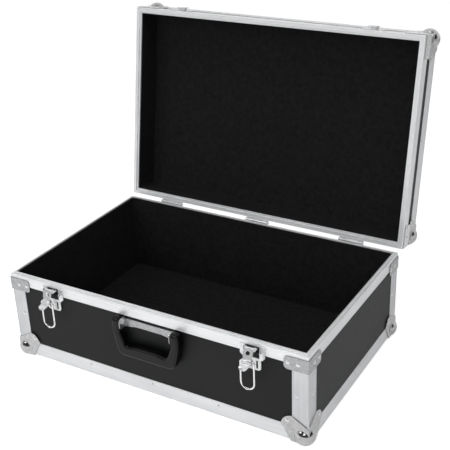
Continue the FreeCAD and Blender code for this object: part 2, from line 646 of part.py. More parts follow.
def lid_shell():
    """Boards, felt and aluminium of the lid, drawn closed and swung open."""
    ceiling = f"({LID_TOP} - dims.metal_thickness - dims.board_thickness)"
    web = f"({GROOVE_TOP} + dims.metal_thickness)"
    boards("lid", web, ceiling, ceiling, f"({LID_TOP} - dims.metal_thickness)", "top", "dims.lid_lap",
           swing_open)
    felt_ceiling = f"({ceiling} - dims.felt_thickness)"
    felt = lining(LID_INNER_HIGH, ceiling, f"{LID_INNER_HIGH} - dims.overrun", felt_ceiling)
    node(swing_open(felt), "lid_lining")
    for name, side in LID_SIDES.items():
        node(swing_open(rim(side, lid_rim_section())), f"lid_rim_{name}")
        node(swing_open(edge_angle(side, LID_TOP, -1)), f"lid_edge_{name}")
    low, high = f"({SHOULDER} + dims.lid_rim_leg)", f"({LID_TOP} - dims.corner_gap)"
    posts = [corner_post(sx, sy, low, high, LID_HALF_WIDTH, LID_HALF_DEPTH) for sx, sy in CORNERS]
    node(swing_open(compound(posts)), "lid_corner_posts")
    for (sx, sy), name in CORNER_NAMES.items():
        trimmed = ball_corner(value(ABOVE_BRACE))
        moved = at_corner(trimmed, sx, sy, value(LID_TOP), -1, value("dims.lid_lap"))
        swing_open(feature(moved, f"lid_ball_corner_{name}"))
    brace_low = f"({SHOULDER} + dims.brace_margin)"
    braces = four_corners(brace(brace_low, LID_HALF_WIDTH, LID_HALF_DEPTH))
    node(swing_open(compound(braces)), "lid_rim_braces")


def hinges():
    """Three butt hinges with five knuckles each; the odd knuckles belong to the base."""
    half = "dims.hinge_width / 2"
    fifth = "dims.hinge_width / 5"
    leaves = {"base": [], "lid": []}
    pins = []
    for middle in (minus(HINGE_X), "0", HINGE_X):
        for owner, up, rear in (("base", -1, HALF_DEPTH), ("lid", 1, LID_HALF_DEPTH)):
            solids = []
            inner = f"({HINGE_Z} + {up} * (dims.knuckle - dims.leaf))"
            outer = f"({HINGE_Z} + {up} * dims.knuckle)"
            far = f"({HINGE_Z} + {up} * (dims.knuckle + dims.leaf_height))"
            low, high = (far, outer) if up < 0 else (outer, far)
            edge = inner if up < 0 else outer
            solids.append(cube([f"{middle} - {half}", rear, low if up < 0 else inner],
                               [f"{middle} + {half}", f"{rear} + dims.leaf", edge if up < 0 else high]))
            for index in range(5):
                if (index % 2 == 0) != (owner == "base"):
                    continue
                start = f"({middle} - {half} + {index} * {fifth} + dims.knuckle_gap / 2)"
                length = f"({fifth} - dims.knuckle_gap)"
                solids.append(round_bar("dims.knuckle", length, [start, HINGE_Y, HINGE_Z], "x"))
                levels = (outer, inner) if up < 0 else (inner, outer)
                solids.append(cube([start, rear, levels[0]], [f"{start} + {length}", HINGE_Y, levels[1]]))
            bore = round_bar("dims.hinge_pin + dims.running_gap", "dims.hinge_width + 2 * dims.overrun",
                             [f"{middle} - {half} - dims.overrun", HINGE_Y, HINGE_Z], "x")
            leaves[owner].append(cut(fuse(solids), bore))
        body = round_bar("dims.hinge_pin", "dims.hinge_width", [f"{middle} - {half}", HINGE_Y, HINGE_Z], "x")
        heads = [round_bar("dims.pin_head", "dims.pin_head_height",
                           [place, HINGE_Y, HINGE_Z], "x")
                 for place in (f"{middle} - {half} - dims.pin_head_height", f"{middle} + {half}")]
        pins.append(fuse([body] + heads))
    node(compound(leaves["base"]), "hinge_leaves_base")
    node(swing_open(compound(leaves["lid"])), "hinge_leaves_lid")
    node(compound(pins), "hinge_pins")


def latch_place(thing, side, out="0", up="0"):
    """Moves a latch piece, drawn about its own pivot, to the left or right latch."""
    return bind(thing, Placement__Base__x=f"{side} * {LATCH_X}",
                Placement__Base__y=f"-1 * {HALF_DEPTH} - ({out})", Placement__Base__z=up)


def latch_plate():
    """Sheet steel back with two ears; x from its middle, y from the front face."""
    half, foot_half = "dims.latch_half", "dims.latch_foot_half"
    straight, waist = f"({LATCH_TOP} - dims.latch_straight)", f"({LATCH_TOP} - dims.latch_taper)"
    points = [
        (minus(half), LATCH_TOP), (minus(half), straight), (minus(foot_half), waist),
        (minus(foot_half), LATCH_FOOT), (foot_half, LATCH_FOOT), (foot_half, waist), (half, straight),
        (half, LATCH_TOP)]
    sheet = padded("XZ_Plane", points, "dims.latch_sheet", symmetric=False)
    foot, corner = value(LATCH_FOOT), value(foot_half)

    def foot_corner(edge, middle):
        return near(middle.z, foot) and near(abs(middle.x), corner)
    sheet = rounded(sheet, "dims.latch_round", foot_corner)
    inset = "(dims.latch_foot_half - dims.seat_margin)"
    seat = cube([minus(inset), "0", f"{LATCH_FOOT} + dims.seat_margin"],
                [inset, "dims.metal_thickness", POST_HIGH])
    slots = []
    for side in (-1, 1):
        near_edge = f"({side} * dims.latch_slot - dims.latch_slot_width / 2)"
        low = f"({LATCH_FOOT} + dims.latch_slot_margin)"
        slots.append(cube([near_edge, "0 - 2 * dims.latch_sheet", low],
                          [f"{near_edge} + dims.latch_slot_width", "2 * dims.metal_thickness",
                           f"{low} + dims.latch_slot_height"]))
    solids = [cut(fuse([sheet, seat]), fuse(slots))]
    for side in (-1, 1):
        start = "dims.lever_half + dims.ear_gap"
        low = start if side > 0 else f"-1 * ({start}) - dims.ear"
        solids.append(cube([low, "-1 * dims.lever_out", f"{LEVER_UP} - dims.ear_round"],
                           [f"{low} + dims.ear", "0", LATCH_TOP]))
        solids.append(round_bar("dims.ear_round", "dims.ear", [low, "-1 * dims.lever_out", LEVER_UP], "x"))
    length = "2 * (dims.lever_half + dims.ear_gap + dims.ear)"
    bore = round_bar("dims.latch_pin", length, [f"-1 * {length} / 2", "-1 * dims.lever_out", LEVER_UP], "x")
    return cut(fuse(solids), bore)


def lever():
    """Lever with two rolled barrels, a padlock hole and a thumb lip, drawn about its pivot."""
    sheet = "dims.lever_sheet"
    face = "(0 - dims.lever_barrel)"
    lip_top = "(0 - dims.lever_reach - dims.bail_barrel / 4)"
    bend, end = "(0 - dims.lever_reach - dims.lip_drop)", "(0 - dims.lever_reach - dims.lip_end_drop)"
    points = [
        (face, "0"), (face, "0 - dims.lever_reach"), ("0 - dims.bail_barrel", lip_top),
        ("0 - dims.lip_out", bend), ("0 - dims.lip_end_out", end),
        (f"{sheet} - dims.lip_end_out", f"{end} + {sheet} / 2"),
        (f"1.2 * {sheet} - dims.lip_out", bend), (f"{sheet} - dims.bail_barrel", f"{lip_top} - {sheet}"),
        (f"{face} + {sheet}", "0 - dims.lever_reach"), (f"{face} + {sheet}", "0")]
    strip = padded("YZ_Plane", points, "2 * dims.lever_half")
    half, low = value("dims.lever_half"), value(end)

    def lip_corner(edge, middle):
        across = abs(edge.tangentAt(edge.FirstParameter).x) < 0.5
        return across and near(abs(middle.x), half) and middle.z < low + value(sheet)
    strip = rounded(strip, "dims.lip_round", lip_corner)
    width = "2 * dims.lever_half"
    start = "0 - dims.lever_half"
    pivot = round_bar("dims.lever_barrel", width, [start, "0", "0"], "x")
    roll = round_bar("dims.bail_barrel", width, [start, "0", "0 - dims.lever_reach"], "x")
    through = "2 * (dims.lever_half + dims.overrun)"
    aside = "0 - dims.lever_half - dims.overrun"
    bores = fuse([
        round_bar("dims.latch_pin + dims.running_gap", through, [aside, "0", "0"], "x"),
        round_bar("dims.wire + dims.running_gap", through, [aside, "0", "0 - dims.lever_reach"], "x"),
        round_bar("dims.lock_hole", "dims.overrun + dims.lever_barrel",
                  ["0", "0 - dims.lever_barrel - dims.overrun", "0 - dims.lock_hole_drop"], "y")])
    whole = cut(fuse([strip, pivot, roll]), bores)
    whole.Placement.Rotation = FreeCAD.Rotation(Vector(-1, 0, 0), value("dims.lever_tilt"))
    return bind(whole, Placement__Rotation__Angle="dims.lever_tilt * 1 deg")


def ring_piece(radius, centre, first, last):
    """Part of a torus in the XZ plane, from one angle to another above +X, in degrees."""
    arc = doc.addObject("Part::Torus", "arc")
    bind(arc, Radius1=radius, Radius2="dims.wire", Angle3=f"{last - first} deg")
    upright = FreeCAD.Rotation(Vector(1, 0, 0), 90)
    arc.Placement.Rotation = FreeCAD.Rotation(Vector(0, -1, 0), first).multiply(upright)
    for name, place in zip("xyz", centre):
        arc.setExpression(f"Placement.Base.{name}", place)
    return arc


def bail():
    """Closed wire loop, drawn about its pivot and hanging down, with a weld bead at the far end."""
    bow = "(dims.bail_half - dims.bail_length)"
    elbow = "(dims.bail_half - dims.bail_elbow)"
    drop = "0 - dims.bail_elbow"
    leg = "dims.bail_length - dims.bail_half - dims.bail_elbow"
    solids = [
        round_bar("dims.wire", f"2 * {elbow}", [minus(elbow), "0", "0"], "x"),
        ring_piece("dims.bail_elbow", [elbow, "0", drop], 0, 90),
        ring_piece("dims.bail_elbow", [minus(elbow), "0", drop], 90, 180),
        ring_piece("dims.bail_half", ["0", "0", bow], 180, 360)]
    for side in ("dims.bail_half", "0 - dims.bail_half"):
        solids.append(round_bar("dims.wire", leg, [side, "0", bow], "z"))
    weld = "dims.weld_length / 2"
    bead = round_bar("dims.weld", "dims.weld_length", [minus(weld), "0", "0 - dims.bail_length"], "x")
    return fuse(solids + [bead])


def latched_wire_height():
    """Level of the bail's far end once the lever is pressed in and the bail lies on the catch."""
    inward = f"({LATCHED_PIVOT_OUT} - dims.catch_wire_out - dims.lid_lap)"
    return f"({LATCHED_PIVOT_Z} + sqrt(dims.bail_length ^ 2 - {inward} ^ 2))"


# The lever's pressed-in angle from upright, and where it then carries the bail's wire
PRESSED = "((dims.lever_tilt - dims.lever_press) * 1 deg)"
LATCHED_PIVOT_OUT = f"(dims.lever_out + dims.lever_reach * sin({PRESSED}))"
LATCHED_PIVOT_Z = f"({LEVER_UP} - dims.lever_reach * cos({PRESSED}))"


def catch():
    """Plate with a round nose and a lip that the bail's bow drops behind, in closed levels."""
    low = f"({LID_PARTING} + dims.catch_margin)"
    plate = cube(["0 - dims.latch_half", "0 - dims.latch_sheet", low],
                 ["dims.latch_half", "0", f"{low} + dims.catch_plate_height"])
    centre = f"({latched_wire_height()} - dims.bail_half)"
    nose_radius = "(dims.bail_half - dims.wire - dims.catch_gap)"
    lip_back = "(dims.catch_wire_out + dims.wire + 2 * dims.catch_gap)"
    reach = f"({lip_back} + dims.catch_lip)"
    nose = round_bar(nose_radius, reach, ["0", f"0 - {reach}", centre], "y")
    below = cube([minus(nose_radius), f"0 - {reach}", f"{low} - 2 * {nose_radius}"], [nose_radius, "0", low])
    lip_high = f"{latched_wire_height()} + dims.wire - dims.catch_gap"
    lip = cube(["0 - dims.catch_lip_half", f"0 - {reach}", centre],
               ["dims.catch_lip_half", f"0 - {lip_back}", lip_high])
    return fuse([plate, cut(nose, below), lip])


def latches():
    """Both latches: plate, pin, lever and bail on the base, catch on the lid."""
    bail_out = "dims.lever_out + dims.lever_reach * sin(dims.lever_tilt * 1 deg)"
    bail_up = f"{LEVER_UP} - dims.lever_reach * cos(dims.lever_tilt * 1 deg)"
    pins, catches = [], []
    for side, name in ((-1, "left"), (1, "right")):
        node(latch_place(latch_plate(), side), f"latch_plate_{name}")
        node(latch_place(lever(), side, "dims.lever_out", LEVER_UP), f"latch_lever_{name}")
        node(latch_place(bail(), side, bail_out, bail_up), f"latch_bail_{name}")
        length = "2 * (dims.lever_half + dims.ear_gap + dims.ear)"
        pins.append(latch_place(round_bar("dims.latch_pin", length, ["0", "0", "0"], "x"), side,
                                "dims.lever_out", LEVER_UP))
        bind(pins[-1], Placement__Base__x=f"{side} * {LATCH_X} - {length} / 2")
        catches.append(latch_place(catch(), side, "dims.lid_lap"))
    node(compound(pins), "latch_pins")
    node(swing_open(compound(catches)), "latch_catches")


def handle():
    """Steel strap with two ears, moulded grip and the pins it swings on."""
    centre = "dims.handle_offset"
    waist = f"({HANDLE_UP} - dims.handle_straight)"
    outer = [
        ("dims.handle_half", HANDLE_TOP), ("dims.handle_half", waist), ("dims.handle_foot_half", GRIP_BOTTOM)]
    inner_top = "(dims.handle_half - dims.handle_arm)"
    inner_foot = "(dims.handle_foot_half - dims.handle_arm)"
    crown = f"({GRIP_TOP} + dims.grip_crown)"
    inner = [
        ("dims.grip_crown_half", crown), (inner_foot, GRIP_TOP), (inner_top, waist), (inner_top, HANDLE_TOP)]
    right = outer + [(f"0 - {x}", z) for x, z in reversed(outer)]
    points = right + [(f"0 - {x}", z) for x, z in reversed(inner)] + inner
    grip = padded("XZ_Plane", points, "dims.handle_thick")
    thick = value("dims.handle_thick")

    def across_at(level):
        level = value(level)

        def wanted(edge, middle):
            straight = abs(edge.tangentAt(edge.FirstParameter).y) > 0.9
            return straight and abs(edge.Length - thick) < thick / 10 and near(middle.z, level)
        return wanted

    def face_edge(edge, middle):
        return near(abs(middle.y), thick / 2)
    grip = rounded(grip, "dims.handle_round", across_at(GRIP_BOTTOM))
    grip = rounded(grip, "dims.handle_top_round", across_at(HANDLE_TOP))
    grip = rounded(grip, "dims.handle_inner_round", across_at(GRIP_TOP))
    grip = rounded(grip, "dims.grip_crown_round", across_at(crown))
    grip = rounded(grip, "dims.handle_edge", face_edge)
    bind(grip, Placement__Base__y=f"-1 * {HALF_DEPTH} - dims.handle_out", Placement__Base__x=centre)

    sockets = []
    ear_out = f"({STRAP_HALF} + dims.handle_swing_gap)"
    for side in (-1, 1):
        low = ear_out if side > 0 else f"(0 - {ear_out} - dims.handle_pin_reach)"
        place = [f"{centre} + {low}", f"-1 * {HALF_DEPTH} - dims.handle_out", HANDLE_UP]
        sockets.append(round_bar("dims.handle_pin + dims.running_gap", "dims.handle_pin_reach", place, "x"))
    width = "(dims.handle_half + dims.overrun)"
    back = f"(0 - {HALF_DEPTH} - dims.handle_out)"
    above = cube([f"{centre} - {width}", f"{back} - dims.handle_thick", HANDLE_UP],
                 [f"{centre} + {width}", f"{back} + dims.handle_thick", f"{HANDLE_TOP} + dims.overrun"])
    turning = round_bar("dims.handle_rise", f"2 * {width}", [f"{centre} - {width}", back, HANDLE_UP], "x")
    node(cut(grip, fuse(sockets + [cut(above, turning)])), "handle_grip")
    node(handle_strap(centre), "handle_strap")
    node(handle_pins(centre), "handle_pins")


def handle_strap(centre):
    """Strap on the front board whose flared ends are bent outward as ears."""
    flare = f"({STRAP_HALF} - dims.strap_flare)"
    half_points = [(flare, STRAP_LOW), (STRAP_HALF, EAR_LOW), (STRAP_HALF, STRAP_TOP)]
    points = [(f"0 - {x}", z) for x, z in reversed(half_points)] + half_points
    sheet = padded("XZ_Plane", points, "dims.strap", symmetric=False)
    back = "(0 - dims.metal_thickness)"
    bind(sheet, Placement__Base__y="dims.metal_thickness")
    solids = [sheet]
    low_y, high_y = "(0 - dims.strap_ear_out)", "dims.metal_thickness"
    ear_points = [(low_y, EAR_LOW), (high_y, EAR_LOW), (high_y, EAR_TOP), (low_y, EAR_TOP)]
    front = value(low_y)

    def ear_corner(edge, middle):
        return abs(edge.tangentAt(edge.FirstParameter).x) > 0.9 and near(middle.y, front)
    for side in (-1, 1):
        ear = padded("YZ_Plane", ear_points, "dims.strap")
        ear = rounded(ear, "dims.strap_ear_round", ear_corner)
        solids.append(bind(ear, Placement__Base__x=f"{side} * ({STRAP_HALF} - dims.strap / 2)"))
    length = f"2 * ({STRAP_HALF} + dims.overrun)"
    bore = round_bar("dims.handle_pin", length, [f"0 - {length} / 2", "0 - dims.handle_out", HANDLE_UP], "x")
    whole = cut(fuse(solids), bore)
    return bind(whole, Placement__Base__x=centre, Placement__Base__y=f"-1 * {HALF_DEPTH}")


def handle_pins(centre):
    """Two headed pins, each through an ear and into an arm."""
    pins = []
    y, z = f"-1 * {HALF_DEPTH} - dims.handle_out", HANDLE_UP
    inner = f"({STRAP_HALF} - dims.strap)"
    shank = "(dims.strap + dims.handle_swing_gap + dims.handle_pin_reach - dims.running_gap)"
    for side in (-1, 1):
        start = inner if side > 0 else f"(0 - {inner} - {shank})"
        head = f"({inner} - dims.handle_pin_head_height)" if side > 0 else f"(0 - {inner})"
        peg = round_bar("dims.handle_pin", shank, [f"{centre} + {start}", y, z], "x")
        cap = [f"{centre} + {head}", y, z]
        pins.append(fuse([peg, round_bar("dims.handle_pin_head", "dims.handle_pin_head_height", cap, "x")]))
    return compound(pins)


def fitting_rivets():
    """Rivets of the latch plates and the base hinge leaves."""
    front, heads = -value(HALF_DEPTH), []
    sheet, level = value("dims.latch_sheet"), value(f"{LATCH_TOP} - dims.latch_rivet_drop")
    for side in (-1, 1):
        for across in (-1, 1):
            x = side * value(LATCH_X) + across * value("dims.latch_rivet")
            heads.append(rivet_head(x, front - sheet, level, (0, -1, 0)))
    return heads + leaf_rivets(-1)


def leaf_rivets(up):
    """Two rivets in each hinge leaf, below or above the hinge axis."""
    rear = value(HALF_DEPTH if up < 0 else LID_HALF_DEPTH) + value("dims.leaf")
    level = value(HINGE_Z) + up * (value("dims.knuckle") + value("dims.leaf_height") / 2)
    heads = []
    for middle in (-1, 0, 1):
        for across in (-1, 1):
            x = middle * value(HINGE_X) + across * value("dims.hinge_width") / 3
            heads.append(rivet_head(x, rear, level, (0, 1, 0)))
    return heads


def catch_rivets():
    """Two rivets in each catch plate, beside its nose."""
    front = -value(LID_HALF_DEPTH) - value("dims.latch_sheet")
    level = value(f"({LID_PARTING} + dims.catch_margin + dims.catch_plate_height / 2)")
    heads = []
    for side in (-1, 1):
        for across in (-1, 1):
            x = side * value(LATCH_X) + across * value("dims.catch_rivet")
            heads.append(rivet_head(x, front, level, (0, -1, 0)))
    return heads


def rivets():
    """All the rivet heads: one group on the base, one on the lid."""
    brace_middle = value("dims.brace_margin") + value("dims.brace_width") / 2
    shoulder = value(SHOULDER)
    bottom, top, lap = -value("dims.metal_thickness"), value(LID_TOP), value("dims.lid_lap")
    on_base = brace_rivets(shoulder - brace_middle, 0) + petal_rivets(bottom, 1, value("dims.petal_rivet"), 0)
    on_base += sill_rivets(bottom, 1, 0) + post_rivets() + fitting_rivets()
    feature(Part.makeCompound(on_base), "base_rivets")
    on_lid = brace_rivets(shoulder + brace_middle, lap)
    on_lid += petal_rivets(top, -1, value("dims.lid_petal_rivet"), lap)
    on_lid += sill_rivets(top, -1, lap) + leaf_rivets(1) + catch_rivets()
    swing_open(feature(Part.makeCompound(on_lid), "lid_rivets"))


def check_and_write():
    """Stops on any failed object, then writes one STEP file for each piece."""
    doc.recompute()
    for thing in doc.Objects:
        if "Invalid" in thing.State or "Error" in thing.State:
            raise RuntimeError(f"{thing.Label} failed: {thing.State}")
    os.makedirs("parts", exist_ok=True)
    for piece in nodes:
        shape = piece.Shape
        if shape.isNull() or not shape.isValid() or not shape.Solids:
            raise RuntimeError(f"{piece.Label} has no valid solid")
        shape.exportStep(f"parts/{piece.Label}.step")
        box = shape.BoundBox
        print(f"{piece.Label:32} solids {len(shape.Solids):3d}  volume {shape.Volume:12.1f}  "
              f"x {box.XMin:8.2f} {box.XMax:8.2f}  y {box.YMin:8.2f} {box.YMax:8.2f}  "
              f"z {box.ZMin:8.2f} {box.ZMax:8.2f}")
    print(len(nodes), "pieces")


base_shell()
lid_shell()
hinges()
latches()
handle()
rivets()
check_and_write()
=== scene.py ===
# %% [markdown]
# # A guitar pedal case with aluminium edges
# A flight-style case is a plywood box faced in black laminate. Aluminium extrusions hold its edges,
# pressed ball corners take the knocks, and draw latches with wire bails hold the lid. The solids come
# from the CAD frame, so every size is already right. This lesson adds what metal, laminate, felt and
# moulded plastic look like up close, and rebuilds the shapes whose curves need a smooth surface.

# %% Load the frame
import math
import bmesh
import bpy
import numpy as np
from mathutils import Matrix, Vector


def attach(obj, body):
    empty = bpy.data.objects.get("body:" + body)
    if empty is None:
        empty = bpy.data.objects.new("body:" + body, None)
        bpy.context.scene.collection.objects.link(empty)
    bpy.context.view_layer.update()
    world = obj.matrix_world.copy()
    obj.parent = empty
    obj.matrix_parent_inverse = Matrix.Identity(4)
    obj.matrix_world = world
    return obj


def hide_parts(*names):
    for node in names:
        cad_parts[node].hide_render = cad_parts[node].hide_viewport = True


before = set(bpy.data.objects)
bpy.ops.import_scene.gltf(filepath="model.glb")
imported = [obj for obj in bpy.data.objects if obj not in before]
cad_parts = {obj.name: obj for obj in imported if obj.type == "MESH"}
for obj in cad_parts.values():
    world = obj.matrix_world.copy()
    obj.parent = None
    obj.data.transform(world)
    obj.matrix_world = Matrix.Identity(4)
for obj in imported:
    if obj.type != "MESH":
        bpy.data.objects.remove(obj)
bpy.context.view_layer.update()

# %% [markdown]
# ## Units and the closed lid
# The frame is in metres and the workshop's sizes are in millimetres, so one factor turns them over.
# WIDTH and DEPTH are taken over the base's aluminium, whose sheet is METAL thick. WALL is a board
# between a rim's two legs, and LID_LAP is how far the lid stands out over the base on every side.
#
# The lid is stored open, but its parts are easiest to describe closed. The function below swings
# closed coordinates about the hinge pins, by the same angle as the CAD does.

# %% Sizes that several pieces share
MM = 0.001
QUARTER_TURN = math.pi / 2
WIDTH, DEPTH = 610.0, 390.0
METAL, WALL = 1.3, 7.8
LID_LAP, LID_TOP = 3.2, 239.2
HINGE_Y, HINGE_Z = 202.7, 167.9
LID_OPEN = math.radians(99.6)
LATCH_X, PIVOT_Y, PIVOT_Z = 205.6, -206.2, 163.5


def stay(points):
    """Base points are drawn where they are."""
    return points


def swing_open(points):
    """Turns closed lid points about the hinge axis: y and z are rotated by the lid's angle about -X."""
    y, z = points[..., 1] - HINGE_Y, points[..., 2] - HINGE_Z
    turned = points.copy()
    turned[..., 1] = HINGE_Y + y * math.cos(LID_OPEN) + z * math.sin(LID_OPEN)
    turned[..., 2] = HINGE_Z + z * math.cos(LID_OPEN) - y * math.sin(LID_OPEN)
    return turned


PLACE = {"base": stay, "lid": swing_open}

# %% [markdown]
# ## From a grid of points to a mesh
# Every new surface here is a grid: one parameter runs along the rows, the other along the columns.
# Joining neighbours into quads with array arithmetic is quick, and it keeps the loops out of Python.
# A grid may be closed in either direction, as a tube is. Doubled points, such as a pole's, are merged.

# %% Grid to mesh
def grid_faces(rows, columns, closed_rows=False, closed_columns=False):
    """Quads of a rows-by-columns grid; a closed direction wraps its last line to its first."""
    r = np.arange(rows if closed_rows else rows - 1)
    c = np.arange(columns if closed_columns else columns - 1)
    r, c = [a.ravel() for a in np.meshgrid(r, c, indexing="ij")]
    r2, c2 = (r + 1) % rows, (c + 1) % columns
    return np.stack([r * columns + c, r * columns + c2, r2 * columns + c2, r2 * columns + c], axis=1)


def joined(grids):
    """Several pairs of points and faces as one list of points and one of faces."""
    starts = np.cumsum([0] + [points[..., 0].size for points, _ in grids[:-1]])
    return (np.concatenate([points.reshape(-1, 3) for points, _ in grids]),
            np.concatenate([faces + start for (_, faces), start in zip(grids, starts)]))


def make_piece(name, points, faces, material, body, merge=2e-5):
    """A smooth piece from points in millimetres, riding on a body; merge is in metres."""
    mesh = bpy.data.meshes.new(name)
    mesh.from_pydata((points.reshape(-1, 3) * MM).tolist(), [], faces.tolist())
    work = bmesh.new()
    work.from_mesh(mesh)
    bmesh.ops.remove_doubles(work, verts=work.verts, dist=merge)
    bmesh.ops.dissolve_degenerate(work, edges=work.edges, dist=merge / 4)
    bmesh.ops.recalc_face_normals(work, faces=work.faces)
    work.to_mesh(mesh)
    work.free()
    mesh.shade_smooth()
    piece = bpy.data.objects.new(name, mesh)
    bpy.context.scene.collection.objects.link(piece)
    mesh.materials.append(material)
    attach(piece, body)
    print(name, len(mesh.polygons), "faces")
    return piece


# %% [markdown]
# ## Colours and nodes
# A picked screen colour is sRGB, but the renderer works with linear light, so one function converts
# hex values. A second small function adds a node, sets its inputs and joins its links, which keeps
# each material's recipe short enough to read from top to bottom.

# %% Colour and node helpers
def linear(code):
    """Hex sRGB to linear RGBA: each channel through the sRGB curve's inverse."""
    channels = [int(code[i:i + 2], 16) / 255 for i in (1, 3, 5)]
    return [c / 12.92 if c <= 0.04045 else ((c + 0.055) / 1.055) ** 2.4 for c in channels] + [1.0]


def add(tree, kind, settings=None, **inputs):
    """Adds a node; settings are its properties, inputs are socket values or output sockets to link."""
    node = tree.nodes.new(kind)
    for name, value in (settings or {}).items():
        setattr(node, name, value)
    for name, value in inputs.items():
        socket = node.inputs[int(name[1:])] if name[0] == "_" else node.inputs[name.replace("_", " ")]
        if isinstance(value, bpy.types.NodeSocket):
            tree.links.new(value, socket)
        else:
            socket.default_value = value
    return node


def new_material(name, **shader):
    """An empty material with one Principled shader set to plain values; returns both and the tree."""
    material = bpy.data.materials.new(name)
    material.use_nodes = True
    tree = material.node_tree
    tree.nodes.clear()
    surface = add(tree, "ShaderNodeBsdfPrincipled", **shader)
    output = add(tree, "ShaderNodeOutputMaterial")
    tree.links.new(surface.outputs[0], output.inputs[0])
    return material, tree, surface


def ramp(tree, factor, stops):
    """A colour ramp between (position, linear colour) stops."""
    node = add(tree, "ShaderNodeValToRGB", Fac=factor)
    elements = node.color_ramp.elements
    while len(elements) < len(stops):
        elements.new(0.5)
    for element, (position, colour) in zip(elements, stops):
        element.position, element.color = position, colour
    return node.outputs[0]


def grey(value):
    """Linear RGBA of one grey."""
    return [value, value, value, 1.0]


def turned_grain(tree, turn, scale):
    """Object coordinates turned by an Euler angle and stretched, so noise becomes lines along a bar."""
    place = add(tree, "ShaderNodeTexCoord").outputs["Object"]
    aligned = add(tree, "ShaderNodeMapping", Vector=place, Rotation=turn)
    return add(tree, "ShaderNodeMapping", Vector=aligned.outputs[0], Scale=scale).outputs[0]


# %% [markdown]
# ## Anodised aluminium
# The edge angles and rims are extruded: pushed through a die, then etched and clear anodised. The die
# leaves fine lines along the bar, and the etch makes the metal satin. Noise that is a hundred and
# fifty times finer across the bar than along it gives those lines. Each direction of bar has its own
# copy, turned to lie along it. Die lines are about 0.1 mm apart; at this picture's scale they are
# drawn about 1 mm apart. The clear oxide scatters much of the light by itself, so the metal counts as
# half metallic.

# %% Anodised aluminium, one copy for each direction
SATIN = 0.36
LINES_PER_METRE, CLOUDS_PER_METRE = (6, 900, 900), (14, 30, 30)


def anodised(name, turn, tone):
    """Satin extruded aluminium whose die lines run along the turned X axis."""
    material, tree, surface = new_material(name, Metallic=0.5)
    lines = add(tree, "ShaderNodeTexNoise", Vector=turned_grain(tree, turn, LINES_PER_METRE), Scale=1.0,
                Detail=4.0, Roughness=0.6)
    clouds = add(tree, "ShaderNodeTexNoise", Vector=turned_grain(tree, turn, CLOUDS_PER_METRE), Scale=1.0,
                 Detail=3.0)
    both = add(tree, "ShaderNodeMix", {"data_type": "FLOAT"}, Factor=0.35, _2=lines.outputs[0],
               _3=clouds.outputs[0])
    light, dark = linear(tone[0]), linear(tone[1])
    colour = ramp(tree, both.outputs[0], [(0.30, dark), (0.62, light)])
    tree.links.new(colour, surface.inputs["Base Color"])
    gloss = add(tree, "ShaderNodeMapRange", Value=both.outputs[0], _1=0.25, _2=0.7, _3=SATIN + 0.07,
                _4=SATIN - 0.05)
    tree.links.new(gloss.outputs[0], surface.inputs["Roughness"])
    bump = add(tree, "ShaderNodeBump", Height=lines.outputs[0], Strength=0.12, Distance=0.0003)
    tree.links.new(bump.outputs[0], surface.inputs["Normal"])
    return material


ALONG_LENGTH, ALONG_DEPTH, UPRIGHT = (0, 0, 0), (0, 0, QUARTER_TURN), (0, QUARTER_TURN, 0)
UP_THE_LID, THROUGH_THE_LID = (LID_OPEN, 0, QUARTER_TURN), (LID_OPEN, QUARTER_TURN, 0)
RIM_TONE, EDGE_TONE, POST_TONE = ("#F2F3F4", "#DADCDE"), ("#E9EAEC", "#CFD1D4"), ("#D6D7D9", "#BBBDC0")
rim_along_x = anodised("anodised_rim_along_length", ALONG_LENGTH, RIM_TONE)
rim_along_y = anodised("anodised_rim_along_depth", ALONG_DEPTH, RIM_TONE)
rim_along_lid = anodised("anodised_rim_up_the_open_lid", UP_THE_LID, RIM_TONE)
edge_along_x = anodised("anodised_edge_along_length", ALONG_LENGTH, EDGE_TONE)
edge_along_y = anodised("anodised_edge_along_depth", ALONG_DEPTH, EDGE_TONE)
edge_upright = anodised("anodised_edge_upright", UPRIGHT, POST_TONE)
edge_along_lid = anodised("anodised_edge_up_the_open_lid", UP_THE_LID, EDGE_TONE)
edge_across_lid = anodised("anodised_edge_across_the_open_lid", THROUGH_THE_LID, POST_TONE)

# %% [markdown]
# ## Steel fittings
# Ball corners, braces and latches are pressed from sheet steel and plated. Bright nickel is smooth and
# mirrors the room; zinc is duller, with a faint mottle left by the bath. The tone, the roughness and a
# low bump tell them apart. Zinc's passivated skin scatters some light of its own, so zinc counts as a
# little less metallic.

# %% Plated steels
def plated(name, tone, rough, mottle_mm, dent, metal=1.0):
    """Plated sheet steel: mottle about mottle_mm across moves the tone and the roughness a little;
    dent is the strength of low waves 18 mm long."""
    material, tree, surface = new_material(name, Metallic=metal)
    place = add(tree, "ShaderNodeTexCoord").outputs["Object"]
    mottle = add(tree, "ShaderNodeTexNoise", Vector=place, Scale=1000 / mottle_mm, Detail=5.0, Roughness=0.6)
    waves = add(tree, "ShaderNodeTexNoise", Vector=place, Scale=55.0, Detail=1.0)
    colour = ramp(tree, mottle.outputs[0], [(0.3, linear(tone[1])), (0.7, linear(tone[0]))])
    tree.links.new(colour, surface.inputs["Base Color"])
    gloss = add(tree, "ShaderNodeMapRange", Value=mottle.outputs[0], _1=0.3, _2=0.7, _3=rough + 0.08,
                _4=rough - 0.04)
    tree.links.new(gloss.outputs[0], surface.inputs["Roughness"])
    bump = add(tree, "ShaderNodeBump", Height=waves.outputs[0], Strength=dent, Distance=0.0012)
    fine = add(tree, "ShaderNodeBump", Height=mottle.outputs[0], Strength=0.1, Distance=0.0002,
               Normal=bump.outputs[0])
    tree.links.new(fine.outputs[0], surface.inputs["Normal"])
    return material


